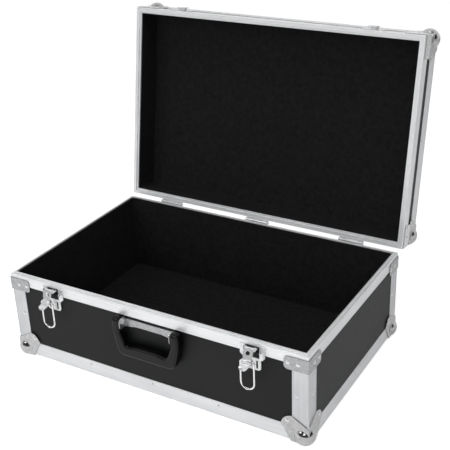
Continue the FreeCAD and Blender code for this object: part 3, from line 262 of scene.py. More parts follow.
bright_nickel = plated("bright_nickel_pressed_steel", ("#C2C2C3", "#A9A9AA"), rough=0.16, mottle_mm=6.0,
                       dent=0.25)
zinc_sheet = plated("zinc_plated_sheet_steel", ("#B4B5B7", "#98999B"), rough=0.27, mottle_mm=7.0,
                    dent=0.15, metal=0.85)
bright_zinc = plated("bright_zinc_latch_steel", ("#ECECED", "#CDCED0"), rough=0.20, mottle_mm=7.0,
                     dent=0.15, metal=0.65)
nickel_wire = plated("nickel_plated_wire", ("#EDEDED", "#D8D8D9"), rough=0.15, mottle_mm=5.0, dent=0.1)
rivet_steel = plated("domed_rivet_steel", ("#E6E6E7", "#CCCDCF"), rough=0.16, mottle_mm=2.0, dent=0.1)

# %% [markdown]
# ## Painted shade behind the levers
# A lever stands out from its plate between two ears, so little light reaches the plate behind it. That
# shade is painted into the plate's colour: the plate between the ears is dark, and the padlock hole looks
# black. The dark zone is a box of positions with soft borders, so it stays on the metal in every view. It
# comes only as far forward as the face of the plate, and the ears stay bright.

# %% Painted shade on the latch plates
def paint_lever_shade(material, middle_x, half_x, low, high, front):
    """A copy of a plated steel with shade painted into its colour: dark within a span of |x| and z and behind
    a y, all in millimetres.
    """
    copy = material.copy()
    copy.name = material.name + "_with_painted_shade"
    tree = copy.node_tree
    surface = tree.nodes["Principled BSDF"]
    place = add(tree, "ShaderNodeSeparateXYZ", Vector=add(tree, "ShaderNodeTexCoord").outputs["Object"])
    across = add(tree, "ShaderNodeMath", {"operation": "ABSOLUTE"}, _0=place.outputs["X"])
    off = add(tree, "ShaderNodeMath", {"operation": "SUBTRACT"}, _0=across.outputs[0], _1=middle_x * MM)
    off = add(tree, "ShaderNodeMath", {"operation": "ABSOLUTE"}, _0=off.outputs[0])
    # Each border has its position, half its softness, and the darkness below and above it.
    borders = [(off.outputs[0], half_x, 0.5, 1.0, 0.0), (place.outputs["Z"], high, 1.0, 1.0, 0.0),
               (place.outputs["Z"], low, 1.5, 0.0, 1.0), (place.outputs["Y"], front, 0.3, 0.0, 1.0)]
    zone = None
    for socket, edge, soft, below, above in borders:
        step = add(tree, "ShaderNodeMapRange", {"interpolation_type": "SMOOTHSTEP"}, Value=socket,
                   _1=(edge - soft) * MM, _2=(edge + soft) * MM, _3=below, _4=above).outputs[0]
        zone = step if zone is None else add(tree, "ShaderNodeMath", {"operation": "MULTIPLY"}, _0=zone,
                                             _1=step).outputs[0]
    unshaded = surface.inputs["Base Color"].links[0].from_socket
    # Painted shade: inside the zone the colour goes to near black, standing in for the shade behind a lever.
    colour = add(tree, "ShaderNodeMix", {"data_type": "RGBA"}, _0=zone, _6=unshaded, _7=linear("#0A0A0A"))
    tree.links.new(colour.outputs[2], surface.inputs["Base Color"])
    return copy


# The latch plates carry the painted shade between the ears of each lever.
zinc_with_painted_lever_shade = paint_lever_shade(bright_zinc, middle_x=LATCH_X, half_x=12.8, low=141.0, high=PIVOT_Z, front=-197.3)

# %% [markdown]
# ## Black laminate
# The boards are plywood faced with a thin melamine laminate. The press plate has a leather-like
# pebble about a millimetre across, which breaks the reflections up, so the black looks soft, with a
# grey bloom where it faces the light. A Voronoi cell pattern gives the pebbles.

# %% Laminate
def laminate():
    """Black melamine facing with pebbles 1.1 mm across, a finer grain and a faint clouding."""
    material, tree, surface = new_material("black_pebbled_melamine", IOR=1.5)
    surface.inputs["Specular IOR Level"].default_value = 0.22
    place = add(tree, "ShaderNodeTexCoord").outputs["Object"]
    pebbles = add(tree, "ShaderNodeTexVoronoi", {"feature": "SMOOTH_F1"}, Vector=place, Scale=900.0,
                  Smoothness=0.7)
    grain = add(tree, "ShaderNodeTexNoise", Vector=place, Scale=420.0, Detail=4.0, Roughness=0.6)
    cloud = add(tree, "ShaderNodeTexNoise", Vector=place, Scale=9.0, Detail=3.0)
    colour = ramp(tree, cloud.outputs[0], [(0.35, linear("#08090A")), (0.7, linear("#0D0E0F"))])
    tree.links.new(colour, surface.inputs["Base Color"])
    gloss = add(tree, "ShaderNodeMapRange", Value=grain.outputs[0], _1=0.3, _2=0.7, _3=0.40, _4=0.52)
    tree.links.new(gloss.outputs[0], surface.inputs["Roughness"])
    low = add(tree, "ShaderNodeBump", Height=pebbles.outputs[0], Strength=0.35, Distance=0.0004)
    high = add(tree, "ShaderNodeBump", Height=grain.outputs[0], Strength=0.25, Distance=0.0004,
               Normal=low.outputs[0])
    tree.links.new(high.outputs[0], surface.inputs["Normal"])
    return material


black_laminate = laminate()

# %% [markdown]
# ## Felt
# The inside is lined with thin black needle felt. It has no weave: its fibres lie every way, so it
# takes almost all the light and gives back only a soft sheen at a low angle. The fuzz is drawn as
# short tangled noise, 0.8 mm across, coarser than real fibres so that it shows.

# %% Needle felt
def needle_felt():
    """Black felt: tangled fibre noise in bump and tone, full roughness and a faint sheen."""
    material, tree, surface = new_material("black_needle_felt", Roughness=1.0, IOR=1.3)
    surface.inputs["Sheen Weight"].default_value = 0.05
    surface.inputs["Sheen Roughness"].default_value = 0.6
    surface.inputs["Sheen Tint"].default_value = linear("#8A8A8E")
    surface.inputs["Specular IOR Level"].default_value = 0.2
    place = add(tree, "ShaderNodeTexCoord").outputs["Object"]
    fibres = add(tree, "ShaderNodeTexNoise", Vector=place, Scale=1250.0, Detail=6.0, Roughness=0.75,
                 Distortion=1.2)
    tufts = add(tree, "ShaderNodeTexNoise", Vector=place, Scale=120.0, Detail=3.0)
    both = add(tree, "ShaderNodeMix", {"data_type": "FLOAT"}, Factor=0.4, _2=fibres.outputs[0],
               _3=tufts.outputs[0])
    colour = ramp(tree, both.outputs[0], [(0.35, linear("#111112")), (0.68, linear("#242425"))])
    tree.links.new(colour, surface.inputs["Base Color"])
    bump = add(tree, "ShaderNodeBump", Height=both.outputs[0], Strength=0.6, Distance=0.0006)
    tree.links.new(bump.outputs[0], surface.inputs["Normal"])
    return material


black_felt = needle_felt()

# %% [markdown]
# ## Moulded plastic
# The grip is injection moulded in black ABS. The mould is spark eroded, which leaves a fine even grain,
# and handling polishes some places a little. The grain is 0.5 mm noise with a low bump.

# %% Moulded ABS
def moulded_abs():
    """Black ABS with a spark-eroded grain."""
    material, tree, surface = new_material("black_moulded_abs", IOR=1.54)
    surface.inputs["Specular IOR Level"].default_value = 0.2
    place = add(tree, "ShaderNodeTexCoord").outputs["Object"]
    grain = add(tree, "ShaderNodeTexNoise", Vector=place, Scale=1800.0, Detail=3.0, Roughness=0.6)
    rubbed = add(tree, "ShaderNodeTexNoise", Vector=place, Scale=40.0, Detail=2.0)
    colour = ramp(tree, rubbed.outputs[0], [(0.35, linear("#060607")), (0.7, linear("#0B0B0C"))])
    tree.links.new(colour, surface.inputs["Base Color"])
    gloss = add(tree, "ShaderNodeMapRange", Value=rubbed.outputs[0], _1=0.3, _2=0.7, _3=0.26, _4=0.36)
    tree.links.new(gloss.outputs[0], surface.inputs["Roughness"])
    bump = add(tree, "ShaderNodeBump", Height=grain.outputs[0], Strength=0.2, Distance=0.0002)
    tree.links.new(bump.outputs[0], surface.inputs["Normal"])
    return material


black_abs = moulded_abs()

# %% [markdown]
# ## Dress the solids of the frame
# Most solids already have the right shape, so each only needs its finish. The name of a node says
# what it is and which way its bar runs, and a short table turns that into a material.

# %% Give every solid its finish
FINISHES = [
    (("base_rim_front", "base_rim_back", "lid_rim_front", "lid_rim_back"), rim_along_x),
    (("base_rim_left", "base_rim_right"), rim_along_y),
    (("lid_rim_left", "lid_rim_right"), rim_along_lid),
    (("base_sill_front", "base_sill_back", "lid_edge_front", "lid_edge_back"), edge_along_x),
    (("base_sill_left", "base_sill_right"), edge_along_y),
    (("lid_edge_left", "lid_edge_right"), edge_along_lid),
    (("base_post_",), edge_upright),
    (("lid_corner_posts",), edge_across_lid),
    (("_board",), black_laminate),
    (("_lining",), black_felt),
    (("_ball_corner_",), bright_nickel),
    (("base_rim_braces", "handle_strap"), zinc_sheet),
    (("latch_plate_",), zinc_with_painted_lever_shade),
    (("hinge_", "latch_lever_", "latch_catches", "lid_rim_braces"), bright_zinc),
    (("_pins", "latch_bail_"), nickel_wire),
    (("_rivets",), rivet_steel),
    (("handle_grip",), black_abs),
]


def finish_for(node):
    """The first finish whose words are part of the node's name."""
    return next(material for words, material in FINISHES if any(word in node for word in words))


for node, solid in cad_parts.items():
    if not solid.data.materials:
        solid.data.materials.append(finish_for(node))
    for holder in solid.material_slots:
        holder.material = finish_for(node)
print(len(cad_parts), "solids dressed")

# %% [markdown]
# ## The felt lining
# Felt is glued over the boards, and in the base also over the rim's inner leg, up to the rim's
# shoulder. It pulls a small radius in each inside corner and never lies perfectly flat. The surface is
# a stack of rounded rectangles: the first rings go down the walls, the next turn the corner, and the
# last shrink to the middle of the floor. Low waves take it up to 0.4 mm off the boards.

# %% Rounded rectangles and the lining
INNER_X, INNER_Y = WIDTH / 2 - WALL, DEPTH / 2 - WALL
BASE_MOUTH, BASE_FLOOR = 169.0, 6.5
LID_MOUTH, LID_CEILING = 175.3, 231.4
FELT_PROUD, FELT_CORNER, FELT_LIFT = 0.35, 3.0, 0.2
WALL_RINGS, BEND_RINGS, FLOOR_RINGS, RING_POINTS = 24, 5, 35, 300


def rounded_rectangle(half_x, half_y, radius, steps):
    """Points round a rectangle with round corners, evenly spread along its length."""
    straight_x, straight_y, arc = 2 * (half_x - radius), 2 * (half_y - radius), radius * math.pi / 2
    lengths = np.array([straight_y, arc, straight_x, arc, straight_y, arc, straight_x, arc])
    ends = np.cumsum(lengths)
    s = np.linspace(0, ends[-1], steps, endpoint=False)
    side = np.searchsorted(ends, s, side="right")
    t = (s - (ends - lengths)[side]) / lengths[side]
    corner = np.array([[1, 1], [-1, 1], [-1, -1], [1, -1]])[(side // 2) % 4]
    centre = corner * [half_x - radius, half_y - radius]
    angle = (side // 2) * math.pi / 2 + t * math.pi / 2
    round_part = centre + radius * np.stack([np.cos(angle), np.sin(angle)], axis=1)
    starts = np.array([[half_x, radius - half_y], [half_x - radius, half_y],
                       [-half_x, half_y - radius], [radius - half_x, -half_y]])[(side // 2) % 4]
    along = np.array([[0, 1], [-1, 0], [0, -1], [1, 0]])[(side // 2) % 4]
    flat_part = starts + along * (t * lengths[side])[:, None]
    return np.where((side % 2 == 1)[:, None], round_part, flat_part)


def lining_points(half_x, half_y, mouth, floor):
    """Open felt box: rings down the wall from mouth to floor, round the bottom, then in to the middle."""
    ring = rounded_rectangle(half_x, half_y, FELT_CORNER, RING_POINTS)
    direction = 1 if floor > mouth else -1
    wall = np.linspace(0, abs(floor - mouth) - FELT_CORNER, WALL_RINGS)
    bend = np.linspace(0, math.pi / 2, BEND_RINGS + 1)[1:]
    drop = np.concatenate([wall, wall[-1] + FELT_CORNER * np.sin(bend)])
    inset = np.concatenate([np.zeros(WALL_RINGS), FELT_CORNER * (1 - np.cos(bend))])
    shrink = np.linspace(1, 0, FLOOR_RINGS + 1)[1:]
    inward = ring / np.array([half_x, half_y])
    walls = ring[None] - inset[:, None, None] * inward[None]
    floors = walls[-1][None] * shrink[:, None, None]
    flat = np.concatenate([walls, floors])
    depth = np.concatenate([drop, np.full(FLOOR_RINGS, drop[-1])])
    points = np.concatenate([flat, np.broadcast_to((mouth + direction * depth)[:, None, None],
                                                   flat.shape[:2] + (1,))], axis=2)
    x, y, z = points[..., 0], points[..., 1], points[..., 2]
    wave = 0.12 * np.sin(x / 47 + 1.3) * np.cos(y / 39 + 0.4) + 0.08 * np.sin(y / 23 + z / 31)
    on_floor = np.arange(len(flat))[:, None] >= WALL_RINGS
    points[..., 2] += np.where(on_floor, -direction * (FELT_LIFT + wave), 0)
    # The waves begin over the first three rings, so the felt's edge at the mouth is straight.
    fade = np.clip(np.arange(len(flat)) / 3, 0, 1)[:, None] * ~on_floor
    squeeze = 1 - fade * (FELT_LIFT + wave) / half_y
    points[..., 0] *= squeeze
    points[..., 1] *= squeeze
    return points


def lining_area(points):
    """Area of the felt in square metres: half the cross products of the grid's diagonals."""
    nxt = np.roll(points, -1, axis=1)
    first, second = nxt[1:] - points[:-1], points[1:] - nxt[:-1]
    return float(np.linalg.norm(np.cross(first, second), axis=2).sum() / 2 * MM * MM)


for body, proud, mouth, floor in (
        ("base", FELT_PROUD, BASE_MOUTH, BASE_FLOOR), ("lid", 0.0, LID_MOUTH, LID_CEILING)):
    points = lining_points(INNER_X - proud, INNER_Y - proud, mouth, floor)
    faces = grid_faces(*points.shape[:2], closed_columns=True)
    felt = make_piece(f"felt_lining_of_{body}", PLACE[body](points), faces, black_felt, body)
    high = abs(points[0, 0, 2] - points[-1, 0, 2])
    cut = ((2 * INNER_X + 2 * high) * MM, (2 * INNER_Y + 2 * high) * MM)
    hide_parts(f"{body}_lining")
    lining_area(points)
    print(felt.name, "area", round(lining_area(points), 4), "of a cut", [round(c, 3) for c in cut])

# %% [markdown]
# ## Pressed ball corners
# A ball corner is one pressing: three petals lie on the case's faces and swell into a hollow ball.
# Seen from the ball's centre, every direction meets the metal once. So the surface is a distance for
# each direction: the larger of the ball's radius and the distance to the petals' flat faces, with a
# smooth blend where the two meet, as the press tool leaves it. Over the point of the case the ball is
# whole, and it gives way to the petals over the next 9 mm. The petals' edges are rolled under, and
# their seams run along the case's edges. The lid is low, so its upright petals end straight.

# %% Ball corners
BALL, BALL_INSET, PETAL = 19.0, 11.0, 1.2
SEAM_END, NEAR, FAR, TIP = 31.6, 30.5, 49.6, 46.4
PETAL_MIDDLE = np.array([26.0, 26.0])
BLEND, GIVE_WAY = 1.1, 9.0
ROLLED, ROLLED_ROWS = 0.35, 4
UNCUT, CUT_ON_LID = 99.0, 37.5


def smooth_larger(a, b, soft):
    """The larger of two lengths, rounded off over a width where they are close."""
    mix = np.clip(0.5 + 0.5 * (a - b) / soft, 0, 1)
    return b + (a - b) * mix + soft * mix * (1 - mix)


def petal_outline(steps, reach):
    """Rim of a petal from one seam to the other; past reach the second coordinate is cut straight."""
    first_seam, first_side, last_side, last_seam = np.array(
        [[-PETAL, SEAM_END], [NEAR, FAR], [FAR, NEAR], [SEAM_END, -PETAL]])
    t = np.linspace(0, 1, steps // 3)[:, None]
    turn = t[1:-1]
    tip = first_side * (1 - turn) ** 2 + last_side * turn ** 2 + 2 * turn * (1 - turn) * TIP
    rim = np.concatenate([first_seam + (first_side - first_seam) * t, tip,
                          last_side + (last_seam - last_side) * t])
    rim[:, 1] = np.minimum(rim[:, 1], reach)
    return rim


def petal_patch(reach, rays=60, rows=46):
    """One petal with its share of the ball: a fan of rays from the corner point to the petal's rim."""
    rim = petal_outline(rays, reach)
    start = np.array([-PETAL, -PETAL])
    s = np.concatenate([np.linspace(0, 1, rows), np.ones(ROLLED_ROWS)])
    flat = start + (rim[None] - start) * s[:, None, None]
    fall = PETAL * np.cos(np.linspace(0.5, math.pi / 2, ROLLED_ROWS))
    height = np.concatenate([np.full(rows, PETAL), fall])
    outward = (rim - PETAL_MIDDLE) / np.linalg.norm(rim - PETAL_MIDDLE, axis=1)[:, None]
    roll = ROLLED * np.sin(np.linspace(0.3, math.pi / 2, ROLLED_ROWS))
    edge = np.concatenate([np.zeros(rows), roll])
    flat = flat + outward[None] * (edge[:, None, None] - ROLLED)
    flat = np.maximum(flat, -PETAL)
    flat[:, 0, 0] = flat[:, -1, 1] = -PETAL
    points = np.concatenate([flat, np.broadcast_to(-height[:, None, None], flat.shape[:2] + (1,))], axis=2)
    centre = np.full(3, BALL_INSET)
    away = points - centre
    distance = np.linalg.norm(away, axis=2, keepdims=True)
    blended = smooth_larger(np.full_like(distance, BALL), distance, BLEND)
    surface = np.where(distance > BALL + BLEND, distance, blended)
    whole = np.clip(1 - away.max(axis=2, keepdims=True) / GIVE_WAY, 0, 1)
    whole = whole * whole * (3 - 2 * whole)
    return centre + away / distance * (surface + whole * (BALL - surface))


def ball_corner(reach):
    """Three petals about the point (0, 0, 0): an uncut one lies flat, two upright ones end at reach."""
    flat, upright = petal_patch(UNCUT), petal_patch(reach)
    faces = grid_faces(*flat.shape[:2])
    return joined([(flat, faces), (upright[..., [2, 0, 1]], faces), (upright[..., [0, 2, 1]], faces)])


for body, level, up, reach, lap in (
        ("base", -METAL, 1, UNCUT, 0.0), ("lid", LID_TOP, -1, CUT_ON_LID, LID_LAP)):
    shape, faces = ball_corner(reach)
    for sy, depthwise in ((-1, "front"), (1, "back")):
        for sx, lengthwise in ((-1, "left"), (1, "right")):
            spot = np.stack([sx * (WIDTH / 2 + lap - shape[:, 0]), sy * (DEPTH / 2 + lap - shape[:, 1]),
                             level + up * shape[:, 2]], axis=1)
            corner = make_piece(f"{body}_pressed_corner_{depthwise}_{lengthwise}", PLACE[body](spot), faces,
                                bright_nickel, body)
            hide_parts(f"{body}_ball_corner_{depthwise}_{lengthwise}")

# %% [markdown]
# ## Latch levers
# A draw latch's lever is one stamping with three jobs. Its tapered web carries the padlock hole, its
# rolled barrel holds the bail's wire, and the lip that curls out below lets a thumb pull it. All are
# drawn about the pivot and straight down, and then leaned out as an unlatched lever hangs. The web
# is a ring of quads round its hole, so the hole stays round without cutting anything.

# %% Levers
LEAN, REACH_TO_BAIL = math.radians(21.8), 21.54
SHEET = 1.4
PIVOT_BARREL, BAIL_BARREL = 2.6, 4.2
HOLE, HOLE_DROP = 3.7, 7.6


def lean_out(points):
    """Turns lever points about the pivot so that the lever's foot swings away from the case."""
    y, z = points[..., 1], points[..., 2]
    turned = points.copy()
    turned[..., 1] = y * math.cos(LEAN) + z * math.sin(LEAN)
    turned[..., 2] = z * math.cos(LEAN) - y * math.sin(LEAN)
    return turned


def evenly(loop, count):
    """Evenly spaced points along a closed loop, whose last point repeats its first."""
    along = np.concatenate([[0], np.cumsum(np.linalg.norm(np.diff(loop, axis=0), axis=1))])
    s = np.linspace(0, along[-1], count, endpoint=False)
    return np.stack([np.interp(s, along, loop[:, i]) for i in (0, 1)], axis=1)


def closed_outline(corners, count, soften):
    """Evenly spaced points round a polygon, its corners softened by a moving average."""
    points = evenly(np.array(corners + corners[:1], dtype=float), count)
    for _ in range(soften):
        points = (np.roll(points, 1, axis=0) + 2 * points + np.roll(points, -1, axis=0)) / 4
    return points


def lever_web():
    """Tapered web between the barrels, as a ring round the padlock hole."""
    right = [(9.0, 0.4), (9.0, -10.4), (8.6, -12.6), (7.3, -15.2), (7.3, -17.0), (8.4, -18.6)]
    rim = closed_outline(right + [(-x, z) for x, z in reversed(right)], count=144, soften=4)
    middle = np.array([0.0, -HOLE_DROP])
    ray = (rim - middle) / np.linalg.norm(rim - middle, axis=1)[:, None]
    hole = middle + HOLE * ray
    front, back = -PIVOT_BARREL, SHEET - PIVOT_BARREL
    # Each row has its place from hole (0) to rim (1), a shift outwards and a y, with edges 0.3 mm round.
    rows = [(0, 0.0, front + 0.3), (0, 0.3, front), (0, 0.7, front), (0.35, 0, front), (0.7, 0, front),
            (1, -0.7, front), (1, -0.3, front), (1, 0.0, front + 0.3), (1, 0.0, back - 0.3), (1, -0.3, back),
            (0.5, 0, back), (0, 0.3, back), (0, 0.0, back - 0.3)]
    flat = np.array([hole + (rim - hole) * t + ray * extra for t, extra, _ in rows])
    depth = np.broadcast_to(np.array([y for _, _, y in rows])[:, None, None], flat.shape[:2] + (1,))
    points = np.concatenate([flat[..., :1], depth, flat[..., 1:]], axis=2)
    return points, grid_faces(*points.shape[:2], closed_rows=True, closed_columns=True)


def barrel(radius, bore, half, down, steps=40):
    """Rolled barrel along X with softened ends and a bore."""
    rows = [(-half, bore), (-half, radius - 0.6), (-half + 0.2, radius - 0.2), (-half + 0.7, radius),
            (half - 0.7, radius), (half - 0.2, radius - 0.2), (half, radius - 0.6), (half, bore)]
    turn = np.linspace(0, 2 * math.pi, steps, endpoint=False)
    points = np.array([[(x, r * math.cos(a), -down + r * math.sin(a)) for a in turn] for x, r in rows])
    return points, grid_faces(*points.shape[:2], closed_rows=True, closed_columns=True)


def thumb_lip(across_steps=25, rows=49, soften=12, side_round=0.35):
    """Sheet from the barrel's underside, over a bulge, out to a dished and rounded lip."""
    way = np.array([(-2.6, -23.2), (-4.4, -24.0), (-5.5, -25.3), (-6.0, -26.9), (-7.6, -28.4), (-9.8, -29.7),
                    (-11.7, -31.2), (-12.3, -33.2), (-11.9, -35.2)])
    knots = np.linspace(0, 1, len(way))
    s = np.linspace(0, 1, rows)
    line = np.stack([np.interp(s, knots, way[:, i]) for i in (0, 1)], axis=1)
    for _ in range(soften):
        line[1:-1] = (line[:-2] + 2 * line[1:-1] + line[2:]) / 4
    along = np.gradient(line, axis=0)
    along /= np.linalg.norm(along, axis=1)[:, None]
    outward = np.stack([along[:, 1], -along[:, 0]], axis=1)
    half = np.interp(s, [0, 0.2, 0.42, 0.62, 1], [8.3, 8.7, 7.6, 8.0, 7.6])
    half = half * np.sqrt(np.clip(1 - np.clip((s - 0.56) / 0.44, 0, 1) ** 2.3, 0, 1))
    # One row goes across the front face and back across the rear, with a point on each side edge.
    there, back = np.linspace(-1, 1, across_steps), np.linspace(1, -1, across_steps)
    across = np.concatenate([there, [1.0], back, [-1.0]])
    lift = np.concatenate([np.full(across_steps, 0.5), [0.0], np.full(across_steps, -0.5), [0.0]]) * SHEET
    side = np.where(lift == 0, side_round, 0.0) * np.sign(across)
    dish = np.interp(s, [0, 0.5, 0.85, 1], [0, 0, 1.1, 1.3])[:, None] * (across[None] ** 2 - 0.4)
    rise = lift[None] + dish
    x = half[:, None] * across[None] + side[None] * (half[:, None] > 1)
    y = line[:, :1] + outward[:, :1] * rise
    z = line[:, 1:] + outward[:, 1:] * rise
    points = np.stack([x, y, z], axis=2)
    return points, grid_faces(*points.shape[:2], closed_columns=True)


lever_points, lever_faces = joined([
    lever_web(), barrel(radius=PIVOT_BARREL, bore=1.6, half=9.0, down=0.0),
    barrel(radius=BAIL_BARREL, bore=1.8, half=8.8, down=REACH_TO_BAIL), thumb_lip()])
for side, sign in (("left", -1), ("right", 1)):
    spot = lean_out(lever_points) + [sign * LATCH_X, PIVOT_Y, PIVOT_Z]
    piece = make_piece(f"stamped_lever_{side}", spot, lever_faces, bright_zinc,
                       f"lever_{side}")
    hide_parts(f"latch_lever_{side}")

# %% [markdown]
# ## Bails
# The bail is bent from round wire and butt welded. The weld leaves a nub under the bow, on its outer
# side, so the inner side still slides over the catch's nose. The wire's centre line lies in one plane:
# straight across the top, two tight elbows, two legs and half a circle. A tube follows it, and the
# tube's radius swells towards the outside at the weld.

# %% Bails
WIRE, BAIL_HALF, BAIL_LENGTH, ELBOW = 1.7, 12.3, 52.6, 3.2
BOW_MIDDLE = BAIL_HALF - BAIL_LENGTH
WELD, WELD_HALF = np.array([-1.6, BOW_MIDDLE - 12.2]), 1.7
WELD_BEAD, WELD_NUB = 0.2, 0.9


def wire_path(count):
    """Evenly spaced points of the closed loop: x across, z below zero, anticlockwise from the upper left."""
    quarter, half_turn = np.linspace(0, math.pi / 2, 16), np.linspace(0, math.pi, 60)
    left_elbow = np.stack([ELBOW - BAIL_HALF - ELBOW * np.sin(quarter), -ELBOW + ELBOW * np.cos(quarter)], 1)
    bow = np.stack([-BAIL_HALF * np.cos(half_turn), BOW_MIDDLE - BAIL_HALF * np.sin(half_turn)], 1)
    right_elbow = (left_elbow * [-1, 1])[::-1]
    return evenly(np.concatenate([left_elbow, bow, right_elbow, left_elbow[:1]]), count)


def bail(steps=260, sides=18):
    """Tube round the wire's path, with the weld's nub under the bow, clear of the catch's nose."""
    path = wire_path(steps)
    along = np.roll(path, -1, axis=0) - np.roll(path, 1, axis=0)
    along /= np.linalg.norm(along, axis=1)[:, None]
    inward = np.stack([-along[:, 1], along[:, 0]], axis=1)
    turn = np.linspace(0, 2 * math.pi, sides, endpoint=False)
    near_weld = np.exp(-(np.linalg.norm(path - WELD, axis=1) / WELD_HALF) ** 4)
    bead = WELD_BEAD + WELD_NUB * np.clip(-np.cos(turn), 0, 1)[None] ** 2
    radius = WIRE + near_weld[:, None] * bead
    x = path[:, :1] + inward[:, :1] * radius * np.cos(turn)
    z = path[:, 1:] + inward[:, 1:] * radius * np.cos(turn)
    points = np.stack([x, radius * np.sin(turn), z], axis=2)
    return points, grid_faces(*points.shape[:2], closed_rows=True, closed_columns=True)


bail_points, bail_faces = bail()
bail_y = PIVOT_Y - REACH_TO_BAIL * math.sin(LEAN)
bail_z = PIVOT_Z - REACH_TO_BAIL * math.cos(LEAN)
for side, sign in (("left", -1), ("right", 1)):
    piece = make_piece(f"welded_wire_bail_{side}", bail_points + [sign * LATCH_X, bail_y, bail_z], bail_faces,
                       nickel_wire, f"bail_{side}")
    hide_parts(f"latch_bail_{side}")

# %% [markdown]
# ## Rivets
# Every head is a low dome about a millimetre high, with a thin skirt on the metal and a small dimple
# on top. The frame's rivets are one node for each body, and each head is its own shell of points. The
# direction in which a shell's points spread least is its axis, and its widest points lie on the metal.

# %% Rivet heads
RIVET, WIDEST = 3.1, 0.93


def rivet_places(node):
    """Foot centre and outward axis of every separate shell in a node, in millimetres."""
    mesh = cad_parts[node].data
    spots = np.array([v.co[:] for v in mesh.vertices]) / MM
    _, which = np.unique(np.round(spots, 3), axis=0, return_inverse=True)
    which = which.ravel()
    label = np.arange(which.max() + 1)
    pairs = which[np.array([e.vertices[:] for e in mesh.edges])]
    # Neighbours take the smaller of their two labels until each shell has one.
    before = None
    while not np.array_equal(before, label):
        before = label.copy()
        low = np.minimum(label[pairs[:, 0]], label[pairs[:, 1]])
        np.minimum.at(label, pairs[:, 0], low)
        np.minimum.at(label, pairs[:, 1], low)
    shells = label[which]
    for shell in np.unique(shells):
        points = np.unique(np.round(spots[shells == shell], 3), axis=0)
        away = points - points.mean(axis=0)
        axis = np.linalg.svd(away)[2][2]
        reach = np.linalg.norm(np.cross(away, axis), axis=1)
        foot = points[reach > WIDEST * reach.max()].mean(axis=0)
        rise = (points - foot) @ axis
        yield foot, axis * np.sign(rise[np.abs(rise).argmax()])


def rivet_heads(node, steps=20):
    """All heads of a node as lathe grids, joined."""
    outline = np.array([(1.20, -0.05), (1.10, 0.02), (1.0, 0.12), (0.93, 0.42), (0.76, 0.78), (0.52, 1.0),
                        (0.34, 1.08), (0.22, 1.02), (0.10, 0.86), (0.0, 0.82)])
    turn = np.linspace(0, 2 * math.pi, steps, endpoint=False)
    faces = grid_faces(len(outline), steps, closed_columns=True)
    heads = []
    for foot, axis in rivet_places(node):
        side = np.cross(axis, [0.0, 0.0, 1.0] if abs(axis[2]) < 0.9 else [1.0, 0.0, 0.0])
        side /= np.linalg.norm(side)
        other = np.cross(axis, side)
        ring = np.cos(turn)[:, None] * side + np.sin(turn)[:, None] * other
        head = foot + outline[:, :1, None] * RIVET * ring[None] + outline[:, 1:, None] * axis
        heads.append((head, faces))
    print(node, len(heads), "heads")
    return joined(heads)


for body in ("base", "lid"):
    heads, faces = rivet_heads(f"{body}_rivets")
    piece = make_piece(f"domed_rivets_of_{body}", heads, faces, rivet_steel, body)
    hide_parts(f"{body}_rivets")

# %% [markdown]
# ## Studio
# The case stands on a white floor in a room of white paper, which the camera sees as pure white. What
# metal looks like depends on what it mirrors, so mirror rays get a room of their own: white overhead,
# white paper in front on the left, grey floor behind on the right, and a dark side, where a real studio
# has its flags and its camera. The dark side draws the black lines that make nickel look like nickel.
# A small softbox inside it gives the sparkle on balls, rivets and wires. The right and front softboxes
# only lift the blacks and the oxide, and are hidden from mirror rays. FLOOR_GLOW makes the floor white
# to the camera alone, and ROOM_LIGHT is how brightly the room lights what doesn't mirror it.

# %% Floor
FLOOR_REACH, GROUND = 6.0, (BALL_INSET - BALL - METAL) * MM
RIGHT_REAR, DARK_SIDE = (0.7, 0.7, 0.0), (0.463, -0.770, 0.437)
FLOOR_GLOW, ROOM_LIGHT = 0.72, 0.27

floor_material, tree, surface = new_material("white_studio_floor", Roughness=1.0)
surface.inputs["Base Color"].default_value = linear("#F0F0F0")
surface.inputs["Specular IOR Level"].default_value = 0.0
rays = add(tree, "ShaderNodeLightPath")
glow = add(tree, "ShaderNodeEmission", Color=grey(1.0))
spot = add(tree, "ShaderNodeTexCoord").outputs["Object"]
to_right_rear = add(tree, "ShaderNodeVectorMath", {"operation": "DOT_PRODUCT"}, _0=spot, _1=RIGHT_REAR)
paper = add(tree, "ShaderNodeMapRange", {"interpolation_type": "SMOOTHSTEP"},
            Value=to_right_rear.outputs["Value"], _1=-0.10, _2=0.22, _3=0.48, _4=0.22)
for_mirrors = add(tree, "ShaderNodeMath", {"operation": "MULTIPLY"}, _0=rays.outputs["Is Glossy Ray"],
                  _1=paper.outputs[0])
strength = add(tree, "ShaderNodeMath", {"operation": "MULTIPLY_ADD"}, _0=rays.outputs["Is Camera Ray"],
               _1=FLOOR_GLOW, _2=for_mirrors.outputs[0])
tree.links.new(strength.outputs[0], glow.inputs["Strength"])
both = add(tree, "ShaderNodeAddShader", _0=surface.outputs[0], _1=glow.outputs[0])
tree.links.new(both.outputs[0], tree.nodes["Material Output"].inputs[0])
floor_mesh = bpy.data.meshes.new("studio_floor")
square = ((-1, -1), (1, -1), (1, 1), (-1, 1))
floor_mesh.from_pydata([(x * FLOOR_REACH, y * FLOOR_REACH, GROUND) for x, y in square], [], [(0, 1, 2, 3)])
floor_mesh.materials.append(floor_material)
floor = bpy.data.objects.new("studio_floor", floor_mesh)
bpy.context.scene.collection.objects.link(floor)

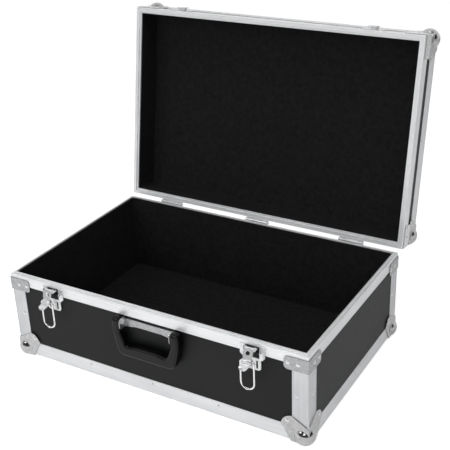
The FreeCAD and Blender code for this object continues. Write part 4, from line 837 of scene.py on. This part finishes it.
# %% World and lamps
world = bpy.data.worlds.new("studio")
bpy.context.scene.world = world
world.use_nodes = True
tree = world.node_tree
tree.nodes.clear()
rays = add(tree, "ShaderNodeLightPath")
seen = add(tree, "ShaderNodeMath", {"operation": "MAXIMUM"}, _0=rays.outputs["Is Camera Ray"],
           _1=rays.outputs["Is Transmission Ray"])
looking = add(tree, "ShaderNodeTexCoord").outputs["Generated"]
height = add(tree, "ShaderNodeSeparateXYZ", Vector=looking)
level = add(tree, "ShaderNodeMapRange", Value=height.outputs["Z"], _1=-1.0, _2=1.0, _3=0.0, _4=1.0)
by_height = ramp(tree, level.outputs[0], [(0.0, grey(0.6)), (0.49, grey(0.95))])
to_dark_side = add(tree, "ShaderNodeVectorMath", {"operation": "DOT_PRODUCT"}, _0=looking, _1=DARK_SIDE)
flags = add(tree, "ShaderNodeMapRange", {"interpolation_type": "SMOOTHSTEP"},
            Value=to_dark_side.outputs["Value"], _1=0.0, _2=0.38, _3=0.0, _4=0.98)
above = add(tree, "ShaderNodeMapRange", {"interpolation_type": "SMOOTHSTEP"}, Value=height.outputs["Z"],
            _1=0.0, _2=0.12, _3=0.0, _4=1.0)
dark = add(tree, "ShaderNodeMath", {"operation": "MULTIPLY"}, _0=flags.outputs[0], _1=above.outputs[0])
light = add(tree, "ShaderNodeMath", {"operation": "SUBTRACT"}, _0=1.0, _1=dark.outputs[0])
mirrored_room = add(tree, "ShaderNodeMath", {"operation": "MULTIPLY"}, _0=by_height, _1=light.outputs[0])
room = add(tree, "ShaderNodeMix", {"data_type": "FLOAT"}, Factor=rays.outputs["Is Glossy Ray"],
           _2=ROOM_LIGHT, _3=mirrored_room.outputs[0])
strength = add(tree, "ShaderNodeMix", {"data_type": "FLOAT"}, Factor=seen.outputs[0], _2=room.outputs[0],
               _3=1.0)
sky = add(tree, "ShaderNodeBackground", Color=grey(1.0), Strength=strength.outputs[0])
out = add(tree, "ShaderNodeOutputWorld")
tree.links.new(sky.outputs[0], out.inputs[0])


def softbox(name, place, aim, size, power, mirrored=True):
    """A square area lamp of so many watts, facing aim, all in metres; mirrored tells if metal shows it."""
    lamp = bpy.data.lights.new(name, "AREA")
    lamp.shape, lamp.size, lamp.energy = "SQUARE", size, power
    holder = bpy.data.objects.new(name, lamp)
    bpy.context.scene.collection.objects.link(holder)
    holder.location = place
    holder.visible_glossy = mirrored
    holder.rotation_euler = (Vector(aim) - Vector(place)).to_track_quat("-Z", "Y").to_euler()


softbox("key_softbox", (-1.3, -1.9, 2.0), aim=(0, 0, 0.15), size=1.0, power=12)
softbox("overhead_softbox", (0.2, -0.2, 2.4), aim=(0, 0, 0.1), size=1.4, power=16)
softbox("right_softbox", (2.2, 0.5, 0.9), aim=(0.3, 0, 0.1), size=0.9, power=6, mirrored=False)
softbox("front_softbox", (-0.2, -2.5, 0.9), aim=(0, 0.2, 0.3), size=0.9, power=18, mirrored=False)
softbox("sparkle_softbox", (0.75, -2.1, 1.35), aim=(0, 0.15, 0.3), size=0.5, power=4)

# %% [markdown]
# ## Camera
# The camera stands where the photograph's perspective puts it: in front of the case and to its right,
# a metre and a half away across the floor and just under a metre up. A focal length of 915.55 pixels
# on a picture 450 pixels wide makes it a long lens.

# %% Camera
SENSOR, FOCAL_PIXELS, PICTURE_PIXELS = 36.0, 915.55, 450.0
STAND = (0.80945, -1.27015, 0.97728)
TO_THE_LEFT, UP, ROLL = 31.01, 64.09, -2.26

view = bpy.data.cameras.new("photograph_view")
view.sensor_width, view.sensor_height, view.sensor_fit = SENSOR, SENSOR, "HORIZONTAL"
view.lens = SENSOR * FOCAL_PIXELS / PICTURE_PIXELS
camera = bpy.data.objects.new("photograph_view", view)
bpy.context.scene.collection.objects.link(camera)
turn = (Matrix.Rotation(math.radians(TO_THE_LEFT), 4, "Z") @ Matrix.Rotation(math.radians(UP), 4, "X")
        @ Matrix.Rotation(math.radians(ROLL), 4, "Z"))
camera.matrix_world = Matrix.Translation(STAND) @ turn
bpy.context.scene.camera = camera
bpy.context.scene.view_settings.view_transform = "Standard"
